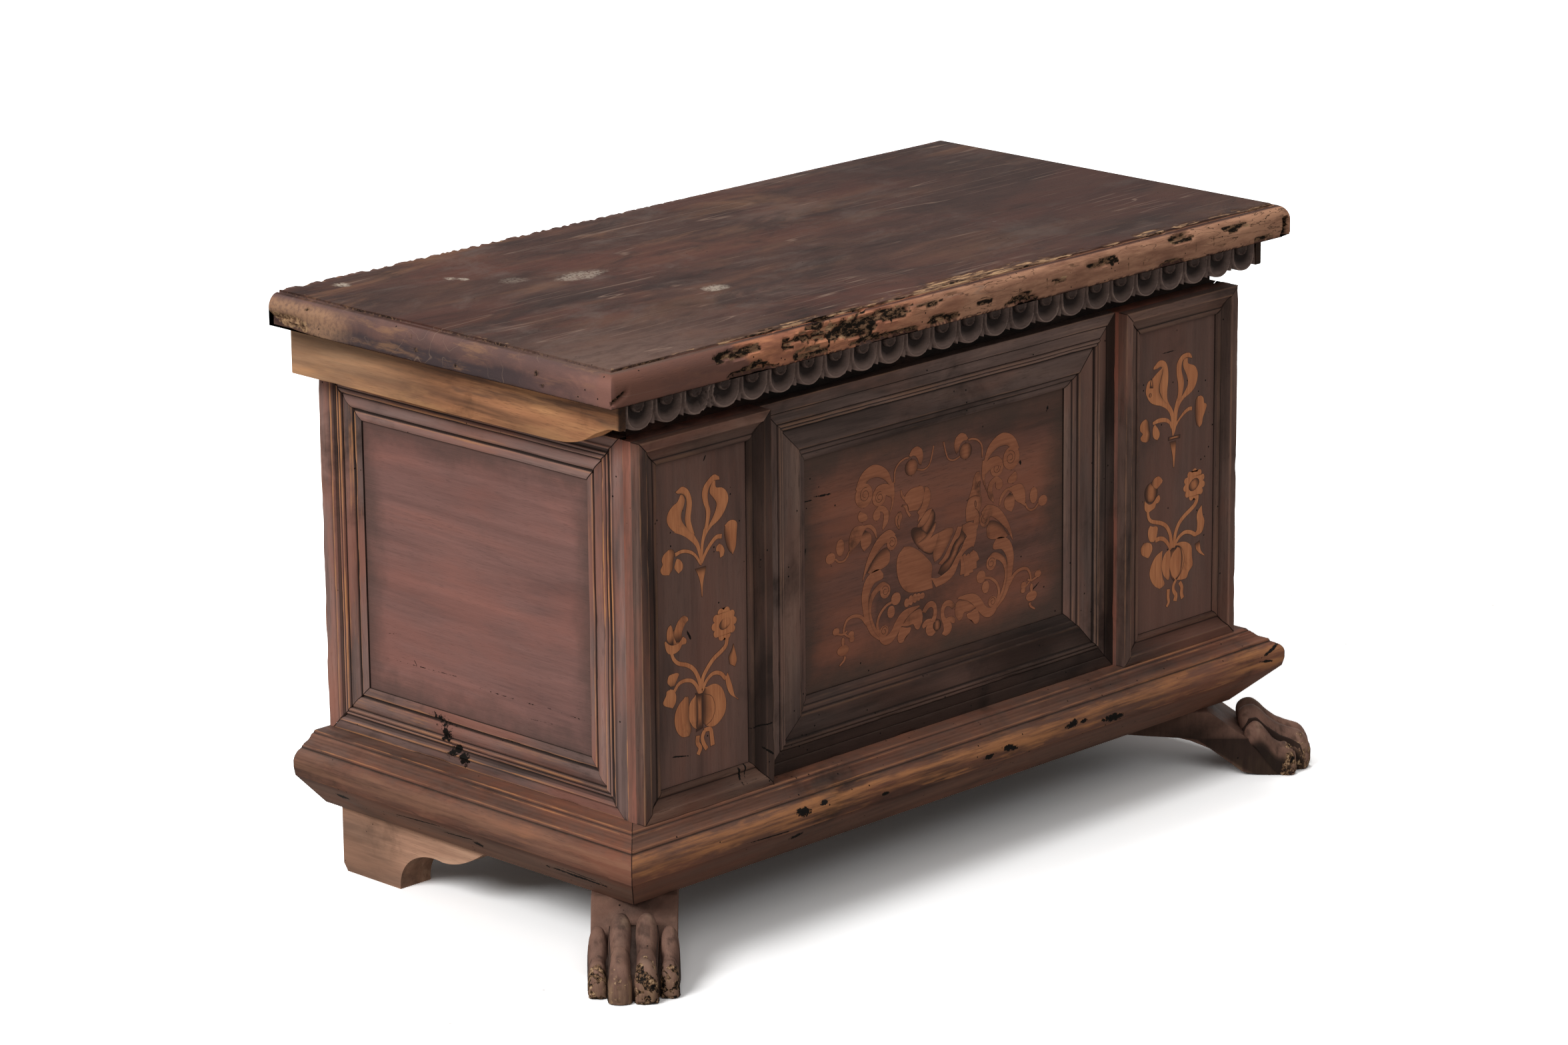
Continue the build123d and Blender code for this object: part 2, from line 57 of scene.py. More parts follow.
class Graph:
    # A thin handle on a node tree: node() makes one node, sets its values and links its inputs
    def __init__(self, tree):
        self.tree = tree

    def node(self, kind, settings=None, **inputs):
        made = self.tree.nodes.new("ShaderNode" + kind)
        for key, value in (settings or {}).items():
            setattr(made, key, value)
        for key, value in inputs.items():
            self.feed(made, key, value)
        return made

    def feed(self, made, key, value):
        # a socket is named by its label with spaces left out, or by its number after an underscore
        if key[0] == "_":
            socket = made.inputs[int(key[1:])]
        else:
            socket = next(s for s in made.inputs if s.name.replace(" ", "") == key and s.enabled)
        if isinstance(value, bpy.types.NodeSocket):
            self.tree.links.new(value, socket)
        elif isinstance(value, tuple) and len(value) == 3 and socket.type == "RGBA":
            socket.default_value = (*value, 1.0)
        else:
            socket.default_value = value

    def math(self, operation, *values):
        return self.node("Math", {"operation": operation}, **{f"_{i}": v for i, v in enumerate(values)}).outputs[0]

    def times(self, first, second):
        return self.math("MULTIPLY", first, second)

    def plus(self, first, second):
        return self.math("ADD", first, second)

    def minus(self, first, second):
        return self.math("SUBTRACT", first, second)

    def most(self, first, second):
        return self.math("MAXIMUM", first, second)

    def swing(self, noise, amount):
        # a noise from 0 to 1 made to swing about zero
        return self.times(self.minus(noise, 0.5), amount)

    def mark(self, name):
        # a value that the mesh holds at its points
        return self.node("Attribute", {"attribute_name": name}).outputs["Fac"]

    def parts(self, vector):
        return self.node("SeparateXYZ", Vector=vector).outputs

    def length(self, vector):
        return self.node("VectorMath", {"operation": "LENGTH"}, _0=vector).outputs["Value"]

    def mixColor(self, factor, first, second):
        mix = self.node("Mix", {"data_type": "RGBA"})
        for key, value in (("_0", factor), ("_6", first), ("_7", second)):
            self.feed(mix, key, value)
        return mix.outputs[2]

    def tint(self, color, mask, amount, other):
        # mixes in another colour, by no more than the amount where the mask is 1
        return self.mixColor(self.times(mask, amount), color, other)

    def smooth(self, value, low, high, toLow=0.0, toHigh=1.0):
        made = self.node("MapRange", {"interpolation_type": "SMOOTHSTEP"})
        for index, number in enumerate((value, low, high, toLow, toHigh)):
            self.feed(made, f"_{index}", number)
        return made.outputs[0]

    def noise(self, vector, scale, detail=3.0, roughness=0.55, distortion=0.0):
        return self.node("TexNoise", Vector=vector, Scale=scale, Detail=detail, Roughness=roughness,
                         Distortion=distortion).outputs["Fac"]

    def mapped(self, vector, scale=(1.0, 1.0, 1.0), move=(0.0, 0.0, 0.0), turn=(0.0, 0.0, 0.0)):
        return self.node("Mapping", Vector=vector, Location=move, Rotation=turn, Scale=scale).outputs[0]

    def drawn(self, vector, scale, *kind, move=(0.0, 0.0, 0.0)):
        # a noise drawn out along the axes whose scale is low; kind is its detail, roughness and distortion
        return self.noise(self.mapped(vector, scale, move), 1.0, *kind)

    def surface(self, color, roughness, gloss, height, strength, distance, **more):
        # the skin of a material: colour, roughness and weak gloss over a bump made from a height
        bump = self.node("Bump", Strength=strength, Distance=distance, Height=height)
        skin = self.node("BsdfPrincipled", BaseColor=color, Roughness=roughness, Normal=bump.outputs[0],
                         SpecularIORLevel=gloss, **more)
        self.node("OutputMaterial", Surface=skin.outputs[0])


# Camera and studio

cameraView = {
    "target": (-0.16184, -0.122425, 0.38677),
    "azimuth": -45.248,
    "elevation": 15.889,
    "roll": -0.551,
    "distance": 5.5733,
    "lens": 127.34,
}


def setUp(thing, right, up, back, spot):
    # turns the camera or a lamp to these three directions, at the spot
    matrix = np.eye(4)
    matrix[:3, :] = np.stack([right, up, back, spot], axis=1)
    thing.matrix_world = Matrix(matrix.tolist())
    bpy.context.scene.collection.objects.link(thing)


def placeCamera(view):
    # back points from the target to the camera; right and up are turned about it by the roll
    azimuth, elevation, roll = (math.radians(view[key]) for key in ("azimuth", "elevation", "roll"))
    back = np.array([
        math.sin(azimuth) * math.cos(elevation),
        -math.cos(azimuth) * math.cos(elevation),
        math.sin(elevation),
    ])
    right = np.array([math.cos(azimuth), math.sin(azimuth), 0.0])
    up = np.cross(back, right)
    turnedRight = math.cos(roll) * right + math.sin(roll) * up
    turnedUp = -math.sin(roll) * right + math.cos(roll) * up
    spot = np.array(view["target"]) + view["distance"] * back
    camera = bpy.data.objects.new("camera", bpy.data.cameras.new("camera"))
    camera.data.lens = view["lens"]
    camera.data.sensor_width = 36
    camera.data.clip_end = 60
    setUp(camera, turnedRight, turnedUp, back, spot)
    bpy.context.scene.camera = camera


placeCamera(cameraView)
bpy.context.scene.view_settings.view_transform = "Standard"

studio = {
    "worldStrength": 0.24,
    "worldColor": (1.0, 0.985, 0.97),
    # the floor's colour as the camera sees it, overexposed, and as other rays see it
    "floorShown": (1.52, 1.52, 1.52),
    "floorBounce": (0.36, 0.35, 0.34),
    "lamps": (
        # name, where it shines from, strength, width of its disc in degrees
        ("overhead", (0.05, 0.22, 1.0), 1.25, 15.0),
        ("leftWindow", (-1.0, -0.05, 0.80), 2.2, 26.0),
        ("frontLeft", (-0.80, -0.90, 1.0), 0.55, 30.0),
    ),
}


def addLamp(name, towards, strength, width):
    lamp = bpy.data.lights.new(name, "SUN")
    lamp.energy = strength
    lamp.angle = math.radians(width)
    lampObject = bpy.data.objects.new(name, lamp)
    back = np.array(towards, float)
    back /= np.linalg.norm(back)
    side = np.cross((0.0, 1.0, 0.0) if abs(back[2]) > 0.9 else (0.0, 0.0, 1.0), back)
    side /= np.linalg.norm(side)
    setUp(lampObject, side, np.cross(back, side), back, back * 4.0)


for lampRow in studio["lamps"]:
    addLamp(*lampRow)


def addWorld(strength):
    # Plain soft light all round; the camera, gloss and glass see white
    world = bpy.data.worlds.new("studio")
    bpy.context.scene.world = world
    world.use_nodes = True
    world.node_tree.nodes.clear()
    g = Graph(world.node_tree)
    path = g.node("LightPath").outputs
    seen = g.most(g.most(path["Is Camera Ray"], path["Is Glossy Ray"]), path["Is Transmission Ray"])
    light = g.node("Background", Color=studio["worldColor"], Strength=strength)
    white = g.node("Background", Color=(1.0, 1.0, 1.0), Strength=1.0)
    mix = g.node("MixShader", _0=seen, _1=light.outputs[0], _2=white.outputs[0])
    g.node("OutputWorld", Surface=mix.outputs[0])


addWorld(studio["worldStrength"])
print("camera and studio placed")


# Mesh helpers

def latticeValue(cells, seed):
    # one repeatable number from 0 to 1 for each whole-number cell
    mixed = cells[..., 0] * 374761393 + cells[..., 1] * 668265263 + cells[..., 2] * 1440662683 + seed * 1274126177
    mixed = (mixed ^ (mixed >> 13)) & 0x7FFFFFFF
    mixed = (mixed * 1274126177) & 0x7FFFFFFF
    return ((mixed ^ (mixed >> 15)) & 0xFFFF) / 65535.0


def cloud(points, size, seed=0, octaves=3):
    # smooth value noise from -1 to 1: eight lattice corners blended, each octave half as large and half as strong
    total, weight, strength = 0.0, 0.0, 1.0
    for octave in range(octaves):
        spot = np.asarray(points) / size * 2.0**octave + 13.7 * octave
        cell = np.floor(spot).astype(np.int64)
        part = spot - cell
        part = part * part * (3 - 2 * part)
        value = 0.0
        for corner in range(8):
            step = np.array([corner & 1, corner >> 1 & 1, corner >> 2 & 1])
            share = np.prod(np.where(step, part, 1 - part), axis=-1)
            value = value + share * latticeValue(cell + step, seed + octave)
        total = total + strength * (2 * value - 1)
        weight += strength
        strength *= 0.5
    return total / weight * 1.6


def rise(value, low, high):
    # smoothstep from 0 at low to 1 at high
    part = np.clip((np.asarray(value) - low) / (high - low), 0, 1)
    return part * part * (3 - 2 * part)


def spots(x, y=0.0, z=0.0):
    # points from their three parts, each an array or one number
    return np.stack(np.broadcast_arrays(x, y, z), -1)


def bell(value, middle, width):
    return np.exp(-(((value - middle) / width) ** 2))


def softened(points, radius, steps=3):
    # each inner corner of an open outline becomes a short parabola that starts and ends radius away from it
    points = np.asarray(points, float)
    rows = [points[:1]]
    for before, corner, after in zip(points[:-2], points[1:-1], points[2:]):
        toBefore, toAfter = before - corner, after - corner
        cut = min(radius, 0.45 * np.linalg.norm(toBefore), 0.45 * np.linalg.norm(toAfter))
        first = corner + toBefore / np.linalg.norm(toBefore) * cut
        last = corner + toAfter / np.linalg.norm(toAfter) * cut
        t = np.linspace(0, 1, steps + 1)[:, None]
        rows.append((1 - t) ** 2 * first + 2 * t * (1 - t) * corner + t**2 * last)
    rows.append(points[-1:])
    return np.concatenate(rows)


def spacedOut(points, step):
    # adds points on the long stretches of an outline, none further apart than step
    rows = []
    for first, last in zip(points[:-1], points[1:]):
        count = max(1, int(np.ceil(np.linalg.norm(last - first) / step)))
        rows.append(first + (last - first) * (np.arange(count) / count)[:, None])
    rows.append(points[-1:])
    return np.concatenate(rows)


def through(points, count):
    # a Catmull-Rom curve through the points, evenly stepped by parameter
    points = np.asarray(points, float)
    padded = np.vstack([2 * points[0] - points[1], points, 2 * points[-1] - points[-2]])
    t = np.linspace(0, len(points) - 1, count)
    cell = np.minimum(t.astype(int), len(points) - 2)
    part = (t - cell)[:, None]
    a, b, c, d = (padded[cell + k] for k in range(4))
    return 0.5 * (2 * b + (c - a) * part + (2 * a - 5 * b + 4 * c - d) * part**2 + (3 * b - a - 3 * c + d) * part**3)


def sheet(points, rings=False, flip=False, **marks):
    # a grid of points with its quads, each row open or closed to a ring; marks are values from 0 to 1 for each point
    rows, columns = points.shape[:2]
    u, v = np.meshgrid(np.arange(rows - 1), np.arange(columns if rings else columns - 1), indexing="ij")
    here, below, nextV = u * columns, (u + 1) * columns, (v + 1) % columns
    quads = np.stack([here + v, below + v, below + nextV, here + nextV], -1).reshape(-1, 4)
    if flip:
        quads = quads[:, ::-1]
    spread = {key: np.broadcast_to(value, points.shape[:2]).reshape(-1) for key, value in marks.items()}
    return points.reshape(-1, 3), quads, spread


def addPiece(name, sheets, material, body="case", replaced=(), closed=True, sharp=32.0):
    # joins the sheets into one mesh, welds their seams and turns closed shells outwards
    points, quads, start = [], [], 0
    for part in sheets:
        points.append(part[0])
        quads.append(part[1] + start)
        start += len(part[0])
    points, quads = np.concatenate(points), np.concatenate(quads)
    mesh = bpy.data.meshes.new(name)
    mesh.vertices.add(len(points))
    mesh.vertices.foreach_set("co", points.astype(np.float32).ravel())
    mesh.loops.add(quads.size)
    mesh.loops.foreach_set("vertex_index", quads.astype(np.int32).ravel())
    mesh.polygons.add(len(quads))
    mesh.polygons.foreach_set("loop_start", np.arange(0, quads.size, 4, dtype=np.int32))
    for key in sorted({key for part in sheets for key in part[2]}):
        values = np.concatenate([part[2].get(key, np.zeros(len(part[0]))) for part in sheets])
        mark = mesh.attributes.new(key, "FLOAT", "POINT")
        mark.data.foreach_set("value", values.astype(np.float32))
    mesh.update(calc_edges=True)
    mesh.validate()
    shell = bmesh.new()
    shell.from_mesh(mesh)
    bmesh.ops.remove_doubles(shell, verts=shell.verts, dist=0.000004)
    if closed:
        bmesh.ops.recalc_face_normals(shell, faces=shell.faces)
    shell.to_mesh(mesh)
    shell.free()
    mesh.polygons.foreach_set("use_smooth", np.ones(len(mesh.polygons), bool))
    mesh.set_sharp_from_angle(angle=math.radians(sharp))
    mesh.materials.append(material)
    piece = bpy.data.objects.new(name, mesh)
    bpy.context.scene.collection.objects.link(piece)
    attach(piece, body)
    if replaced:
        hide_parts(*replaced)
    return piece


def closedRun(points, **marks):
    # a run of rings, each end closed by a fan to its ring's middle
    first, last = points[:1].mean(axis=1, keepdims=True), points[-1:].mean(axis=1, keepdims=True)
    wide = (1, points.shape[1], 1)
    marks = {key: np.concatenate([value[:1], value, value[-1:]]) for key, value in marks.items()}
    return sheet(np.concatenate([np.tile(first, wide), points, np.tile(last, wide)]), rings=True, **marks)


# Mitred mouldings

def reliefMarks(outline, reach):
    # how far each point of an outline stands out of the same outline smoothed along its length: worn above it,
    # deep below it, where shade is painted in the creases; also the outline's outward normals, to the left of its run
    run = np.concatenate([[0], np.cumsum(np.linalg.norm(np.diff(outline, axis=0), axis=1))])
    weight = np.exp(-(((run[:, None] - run[None, :]) / reach) ** 2))
    spacing = np.gradient(run)[None, :]
    level = (weight * spacing) @ outline / (weight * spacing).sum(1, keepdims=True)
    slope = np.gradient(outline, axis=0)
    normal = np.stack([-slope[:, 1], slope[:, 0]], -1)
    normal /= np.maximum(np.linalg.norm(normal, axis=1, keepdims=True), 1e-9)
    standing = ((outline - level) * normal).sum(1)
    return np.clip(standing / 0.45, 0, 1), np.clip(-standing / 0.38, 0, 1), normal


def mouldingRun(outline, halves, mitre, seed, wearDepth, step=5.0, gap=0.3, shade=(0.0, 0.0, 0.0)):
    # One length of moulding in millimetres, local (along, across, height): the outline is carried along it, and its
    # two ends shift by the distance across (mitre 1 shortens, -1 lengthens, 0 is square). Arrises are nibbled by noise.
    # shade: how dark it is painted up to some distance across, that distance, and how dark beyond; dirt and painted
    # shade together
    ring = spacedOut(softened(outline, 0.55), 1.6)
    worn, deep, normal = reliefMarks(ring, 2.4)
    if ring[-1, 1] > 0.01:
        ring = np.concatenate([ring, [[ring[-1, 0], ring[-1, 1] - 0.6], [ring[-1, 0], 0.0]]])
        worn, deep, normal = np.append(worn, [0, 0]), np.append(deep, [1, 1]), np.append(normal, [[0, 0]] * 2, axis=0)
    low, high = halves
    share = np.linspace(0, 1, max(8, int((low + high) / step)) + 1)
    near = 0.9 / (low + high)
    share = np.concatenate([[0, near], share[1:-1], [1 - near, 1]])[:, None]
    startAt = -(low - gap - mitre[0] * ring[:, 0])
    endAt = high - gap - mitre[1] * ring[:, 0]
    along = startAt + (endAt - startAt) * share
    across = np.broadcast_to(ring[:, 0], along.shape)
    height = np.broadcast_to(ring[:, 1], along.shape)
    spot = spots(along / 3.0, across, height)
    loose = ring[:, 1] > 0.01
    nibble = rise(cloud(spot, 9.0, seed), 0.05, 0.9) * worn * wearDepth * loose
    wave = 0.2 * cloud(spots(along), 70.0, seed + 5, 2) * loose
    points = spots(along, across - nibble * normal[:, 0] + wave, height - nibble * normal[:, 1] + wave)
    fromEnd = np.minimum(along - startAt, endAt - along)
    flat, edge, slope = shade
    dirtAndShade = (flat + (slope - flat) * rise(ring[:, 0], edge, edge + 1.2)) * (1 + 0.55 * cloud(spot, 55.0, seed + 1))
    deep = np.maximum(deep, np.clip(dirtAndShade, 0, 0.9))
    # deep: painted shade in the creases, in the mitre joints at both ends and on the back lip, added to the dirt and
    # shade above
    marks = {
        "worn": np.clip(worn + 0.3 * cloud(spot, 40.0, seed + 3) * (worn > 0.05), 0, 1),
        "deep": np.clip(np.maximum(deep, 0.9 * (1 - rise(fromEnd, 0.1, 0.8))), 0, 1),
    }
    return points, marks


def placedRun(points, origin, alongAxis, acrossAxis, outAxis):
    # local millimetres to the frame's metres
    axes = np.stack([alongAxis, acrossAxis, outAxis]).astype(float)
    return points / 1000.0 @ axes + np.asarray(origin, float)


# Shader node groups

def newGroup(name, inputs, outputs):
    # inputs and outputs are (name, kind, default) rows; returns the graph, its inputs and its output node
    tree = bpy.data.node_groups.new(name, "ShaderNodeTree")
    kinds = {"f": "NodeSocketFloat", "c": "NodeSocketColor", "v": "NodeSocketVector"}
    for label, kind, default in inputs:
        socket = tree.interface.new_socket(label, in_out="INPUT", socket_type=kinds[kind])
        if default is not None:
            socket.default_value = default
    for label, kind in outputs:
        tree.interface.new_socket(label, in_out="OUTPUT", socket_type=kinds[kind])
    start = tree.nodes.new("NodeGroupInput")
    end = tree.nodes.new("NodeGroupOutput")
    return Graph(tree), start.outputs, end


def makeWoodGrain():
    # Walnut figure: slow bands across the grain, fine fibres along it and short dark pores
    g, given, end = newGroup(
        "walnutGrain",
        [("Vector", "v", None), ("Dark", "c", (0.02, 0.01, 0.006, 1)), ("Mid", "c", (0.05, 0.025, 0.015, 1)),
         ("Light", "c", (0.12, 0.06, 0.03, 1)), ("Fibre", "f", 0.35), ("Pores", "f", 0.6)],
        [("Color", "c"), ("Height", "f"), ("Figure", "f")],
    )
    bands = g.drawn(given["Vector"], (2.2, 21.0, 21.0), 4.0, 0.55, 0.8)
    fibres = g.drawn(given["Vector"], (18.0, 520.0, 520.0), 2.0, 0.6)
    streaks = g.drawn(given["Vector"], (5.0, 120.0, 120.0), 3.0, 0.6, 0.3)
    pores = g.smooth(g.drawn(given["Vector"], (70.0, 1300.0, 1300.0), 1.0, 0.5), 0.60, 0.74)
    low = g.mixColor(g.smooth(bands, 0.30, 0.52), given["Dark"], given["Mid"])
    both = g.mixColor(g.smooth(bands, 0.50, 0.72), low, given["Light"])
    shade = g.plus(g.swing(fibres, given["Fibre"]), g.swing(streaks, g.times(given["Fibre"], 2.2)))
    lit = g.node("HueSaturation", Color=both, Value=g.plus(1.0, shade)).outputs[0]
    dark = g.tint(lit, pores, given["Pores"], given["Dark"])
    g.feed(end, "Color", dark)
    g.feed(end, "Height", g.minus(g.times(fibres, 0.5), g.times(pores, 0.6)))
    g.feed(end, "Figure", bands)
    return g.tree


def makeGrime():
    # Dark waxy patches with cloudy edges: amount shifts where the cloud crosses its threshold
    g, given, end = newGroup(
        "agedGrime",
        [("Vector", "v", None), ("Color", "c", (0.1, 0.05, 0.03, 1)), ("Grime", "c", (0.012, 0.008, 0.006, 1)),
         ("Amount", "f", 0.5), ("Scale", "f", 7.0)],
        [("Color", "c"), ("Mask", "f")],
    )
    waxy = g.noise(given["Vector"], given["Scale"], 6.0, 0.62, 0.4)
    edge = g.minus(0.72, g.times(given["Amount"], 0.42))
    mask = g.smooth(waxy, edge, g.plus(edge, 0.22))
    g.feed(end, "Color", g.tint(given["Color"], mask, 0.85, given["Grime"]))
    g.feed(end, "Mask", mask)
    return g.tree


def makeWormHoles():
    # Round flight holes: cells whose random value is high enough, in patches, with a dark pit each
    g, given, end = newGroup(
        "wormHoles",
        [("Vector", "v", None), ("Cells", "f", 170.0), ("Amount", "f", 0.2), ("Radius", "f", 0.13)],
        [("Mask", "f")],
    )
    cells = g.node("TexVoronoi", Vector=given["Vector"], Scale=given["Cells"])
    pick = g.node("SeparateColor", Color=cells.outputs["Color"]).outputs[0]
    patch = g.smooth(g.noise(given["Vector"], 9.0, 2.0), 0.42, 0.68)
    chosen = g.math("GREATER_THAN", g.times(given["Amount"], patch), pick)
    pit = g.smooth(cells.outputs["Distance"], given["Radius"], g.times(given["Radius"], 1.5), 1.0, 0.0)
    g.feed(end, "Mask", g.times(chosen, pit))
    return g.tree


def makeScratches():
    # Thin light lines: a stretched noise crossing one level, kept only where a second cloud allows
    g, given, end = newGroup(
        "fineScratches",
        [("Vector", "v", None), ("Amount", "f", 0.5)],
        [("Mask", "f")],
    )
    total = 0.0
    for index, (turn, width) in enumerate(((0.35, 0.010), (-0.75, 0.009), (1.25, 0.008))):
        turned = g.mapped(given["Vector"], (1.6, 42.0, 42.0), (index * 3.1, index * 1.7, 0), (0, 0, turn))
        line = g.math("ABSOLUTE", g.minus(g.noise(turned, 1.0, 1.0, 0.4), 0.5))
        thin = g.smooth(line, 0.0, width, 1.0, 0.0)
        where = g.smooth(g.drawn(given["Vector"], (9, 9, 9), 3.0, move=(index, 0, 4)), 0.52, 0.66)
        total = g.most(total, g.times(thin, where))
    g.feed(end, "Mask", g.times(total, given["Amount"]))
    return g.tree


woodGrain = makeWoodGrain()
agedGrime = makeGrime()
wormHoles = makeWormHoles()
fineScratches = makeScratches()
print("node groups built")

grainTurns = {"x": (0.0, 0.0, 0.0), "y": (0.0, 0.0, math.radians(-90)), "z": (0.0, math.radians(90), 0.0)}


def newMaterial(name):
    # an empty material, its graph and the place on the object
    material = bpy.data.materials.new(name)
    material.use_nodes = True
    material.node_tree.nodes.clear()
    g = Graph(material.node_tree)
    return material, g, g.node("TexCoord").outputs["Object"]


def addGroup(g, tree, **inputs):
    return g.node("Group", {"node_tree": tree}, **inputs).outputs


woodLook = {
    "dark": (0.056, 0.035, 0.029),
    "mid": (0.170, 0.102, 0.081),
    "light": (0.30, 0.17, 0.122),
    "patch": (0.25, 0.094, 0.060),
    "patchAmount": 0.55,
    "worn": (0.32, 0.165, 0.09),
    "grime": (0.014, 0.0095, 0.008),
    "grimeAmount": 0.45,
    "dust": (0.115, 0.080, 0.066),
    "dustAmount": 0.3,
    "fibre": 0.4,
    "pores": 0.5,
    "worms": 0.12,
    "wear": 0.5,
    "roughness": 0.5,
    "gloss": 0.06,
    "bump": 0.4,
    # a rubbed band between two heights: low, high, colour, amount
    "band": None,
    # a darker border round a box: which two axes, the middle, the half sizes, how wide it fades, colour, amount;
    # on the front board it is painted shadow
    "border": None,
    # slow changes of colour: which axis, where it starts and is full, colour, amount
    "fades": (),
    # holes and cracks: place, half sizes, turn about X, Y and Z in degrees
    "hurts": (),
    # broken wood where the mesh says so: its dark and its pale colour
    "crumbs": None,
}
pitColor = (0.006, 0.0045, 0.0035)


def markHurts(g, place, rows):
    # each hole or crack is a stretched ball round its place, its edge broken by noise
    ragged = g.swing(g.noise(place, 190.0, 5.0, 0.72), 2.6)
    total = 0.0
    for spot, half, turn in rows:
        moved = g.node("Mapping", {"vector_type": "TEXTURE"}, Vector=place, Location=spot, Scale=half,
                       Rotation=tuple(math.radians(value) for value in turn))
        away = g.length(moved.outputs[0])
        total = g.most(total, g.smooth(g.plus(away, ragged), 0.86, 1.06, 1.0, 0.0))
    return total


def makeWood(name, axis="x", useWorn=False, **changes):
    # Grain with slow patches of a second colour, then grime, then wear where the mesh says its edges are rubbed,
    # painted shade where it marks creases and joints deep, dust on what faces up, worm holes, and the piece's own
    # holes and cracks; waxed, soft in gloss
    look = {**woodLook, **changes}
    material, g, place = newMaterial(name)
    parts = g.parts(place)
    along = g.mapped(place, turn=grainTurns[axis])
    grain = addGroup(g, woodGrain, Vector=along, Dark=look["dark"], Mid=look["mid"], Light=look["light"],
                     Fibre=look["fibre"], Pores=look["pores"])
    drift = g.smooth(g.drawn(along, (3.5, 14.0, 14.0), 5.0, 0.62, move=(2.0, 5.0, 1.0)), 0.44, 0.62)
    color = g.tint(grain["Color"], drift, look["patchAmount"], look["patch"])
    grime = addGroup(g, agedGrime, Vector=place, Color=color, Grime=look["grime"], Amount=look["grimeAmount"])
    color = grime["Color"]
    rubbed = g.smooth(g.drawn(along, (14.0, 60.0, 60.0), 4.0, 0.6), 0.35, 0.75)
    if look["band"]:
        low, high, bandColor, amount = look["band"]
        lifted = g.plus(parts[2], g.swing(rubbed, 0.012))
        inBand = g.times(g.smooth(lifted, low, low + 0.008), g.smooth(lifted, high - 0.008, high, 1.0, 0.0))
        streaky = g.smooth(g.drawn(along, (9.0, 150.0, 150.0), 5.0, 0.65), 0.34, 0.66)
        color = g.tint(color, g.times(inBand, streaky), amount, bandColor)
    if look["border"]:
        axes, middle, half, width, borderColor, amount = look["border"]
        away = [g.minus(g.math("ABSOLUTE", g.minus(parts[k], m)), h) for k, m, h in zip(axes, middle, half)]
        nearest = g.plus(g.most(*away), g.swing(g.noise(place, 26.0, 5.0, 0.65), 0.05))
        color = g.tint(color, g.smooth(nearest, -width, 0.004), amount, borderColor)
    for axisIndex, start, full, fadeColor, amount in look["fades"]:
        streaky = g.smooth(g.drawn(along, (6.0, 60.0, 60.0), 5.0, 0.65, move=(3.0, 0, 0)), 0.3, 0.7, 0.4, 1.0)
        color = g.tint(color, g.times(g.smooth(parts[axisIndex], start, full), streaky), amount, fadeColor)
    if useWorn:
        edge = g.mark("worn")
        rub = g.times(g.smooth(g.plus(edge, g.times(rubbed, 0.7)), 0.62, 1.35), look["wear"])
        wornGrain = g.mixColor(g.smooth(grain["Figure"], 0.3, 0.7), look["worn"], look["light"])
        color = g.mixColor(rub, color, wornGrain)
        # the deep mark: painted shade in creases, joints, hollows and under parts, with some dirt, in the grime colour
        hollow = g.mark("deep")
        color = g.tint(color, hollow, 0.95, look["grime"])
    facing = g.parts(g.node("NewGeometry").outputs["Normal"])[2]
    settled = g.times(g.smooth(facing, 0.45, 0.95), g.smooth(g.noise(place, 38.0, 5.0, 0.7), 0.36, 0.62))
    color = g.tint(color, settled, look["dustAmount"], look["dust"])
    if look["crumbs"]:
        crumb = g.mark("crumb")
        grit = g.noise(place, 210.0, 4.0, 0.7)
        broken = g.mixColor(g.smooth(grit, 0.44, 0.56), pitColor,
                            g.mixColor(g.smooth(grit, 0.54, 0.66), *look["crumbs"]))
        color = g.mixColor(g.smooth(g.plus(crumb, g.swing(grit, 0.8)), 0.30, 0.55), color, broken)
    holes = addGroup(g, wormHoles, Vector=place, Amount=look["worms"])["Mask"]
    if look["hurts"]:
        holes = g.most(holes, markHurts(g, place, look["hurts"]))
    color = g.mixColor(holes, color, pitColor)
    roughness = g.smooth(grime["Mask"], 0.0, 1.0, look["roughness"] + 0.10, look["roughness"] - 0.06)
    height = g.minus(grain["Height"], g.times(holes, 2.5))
    height = g.plus(height, g.times(rubbed, 0.5))
    g.surface(color, roughness, look["gloss"], height, look["bump"], 0.0008)
    return material


def makeInlay(name, axis, pale, tan, smokeColor, jointColor, grimeAmount):
    # pale fruitwood with fine streaks, browned where the mesh says it was smoked and dark along its saw cuts
    material, g, place = newMaterial(name)
    along = g.mapped(place, turn=grainTurns[axis])
    streaks = g.drawn(along, (30.0, 420.0, 420.0), 3.0, 0.6)
    tone = g.drawn(along, (8.0, 40.0, 40.0), 3.0, 0.6)
    color = g.mixColor(g.smooth(g.plus(g.times(streaks, 0.6), g.times(tone, 0.5)), 0.35, 0.75), tan, pale)
    grime = addGroup(g, agedGrime, Vector=place, Color=color, Grime=smokeColor, Amount=grimeAmount, Scale=24.0)
    color = grime["Color"]
    smoke = g.plus(g.mark("smoke"), g.swing(tone, 0.35))
    color = g.mixColor(g.smooth(smoke, 0.12, 0.95), color, smokeColor)
    color = g.mixColor(g.smooth(g.mark("rim"), 0.15, 0.8), color, jointColor)
    g.surface(color, g.smooth(grime["Mask"], 0, 1, 0.5, 0.4), 0.08, streaks, 0.25, 0.0004)
    return material


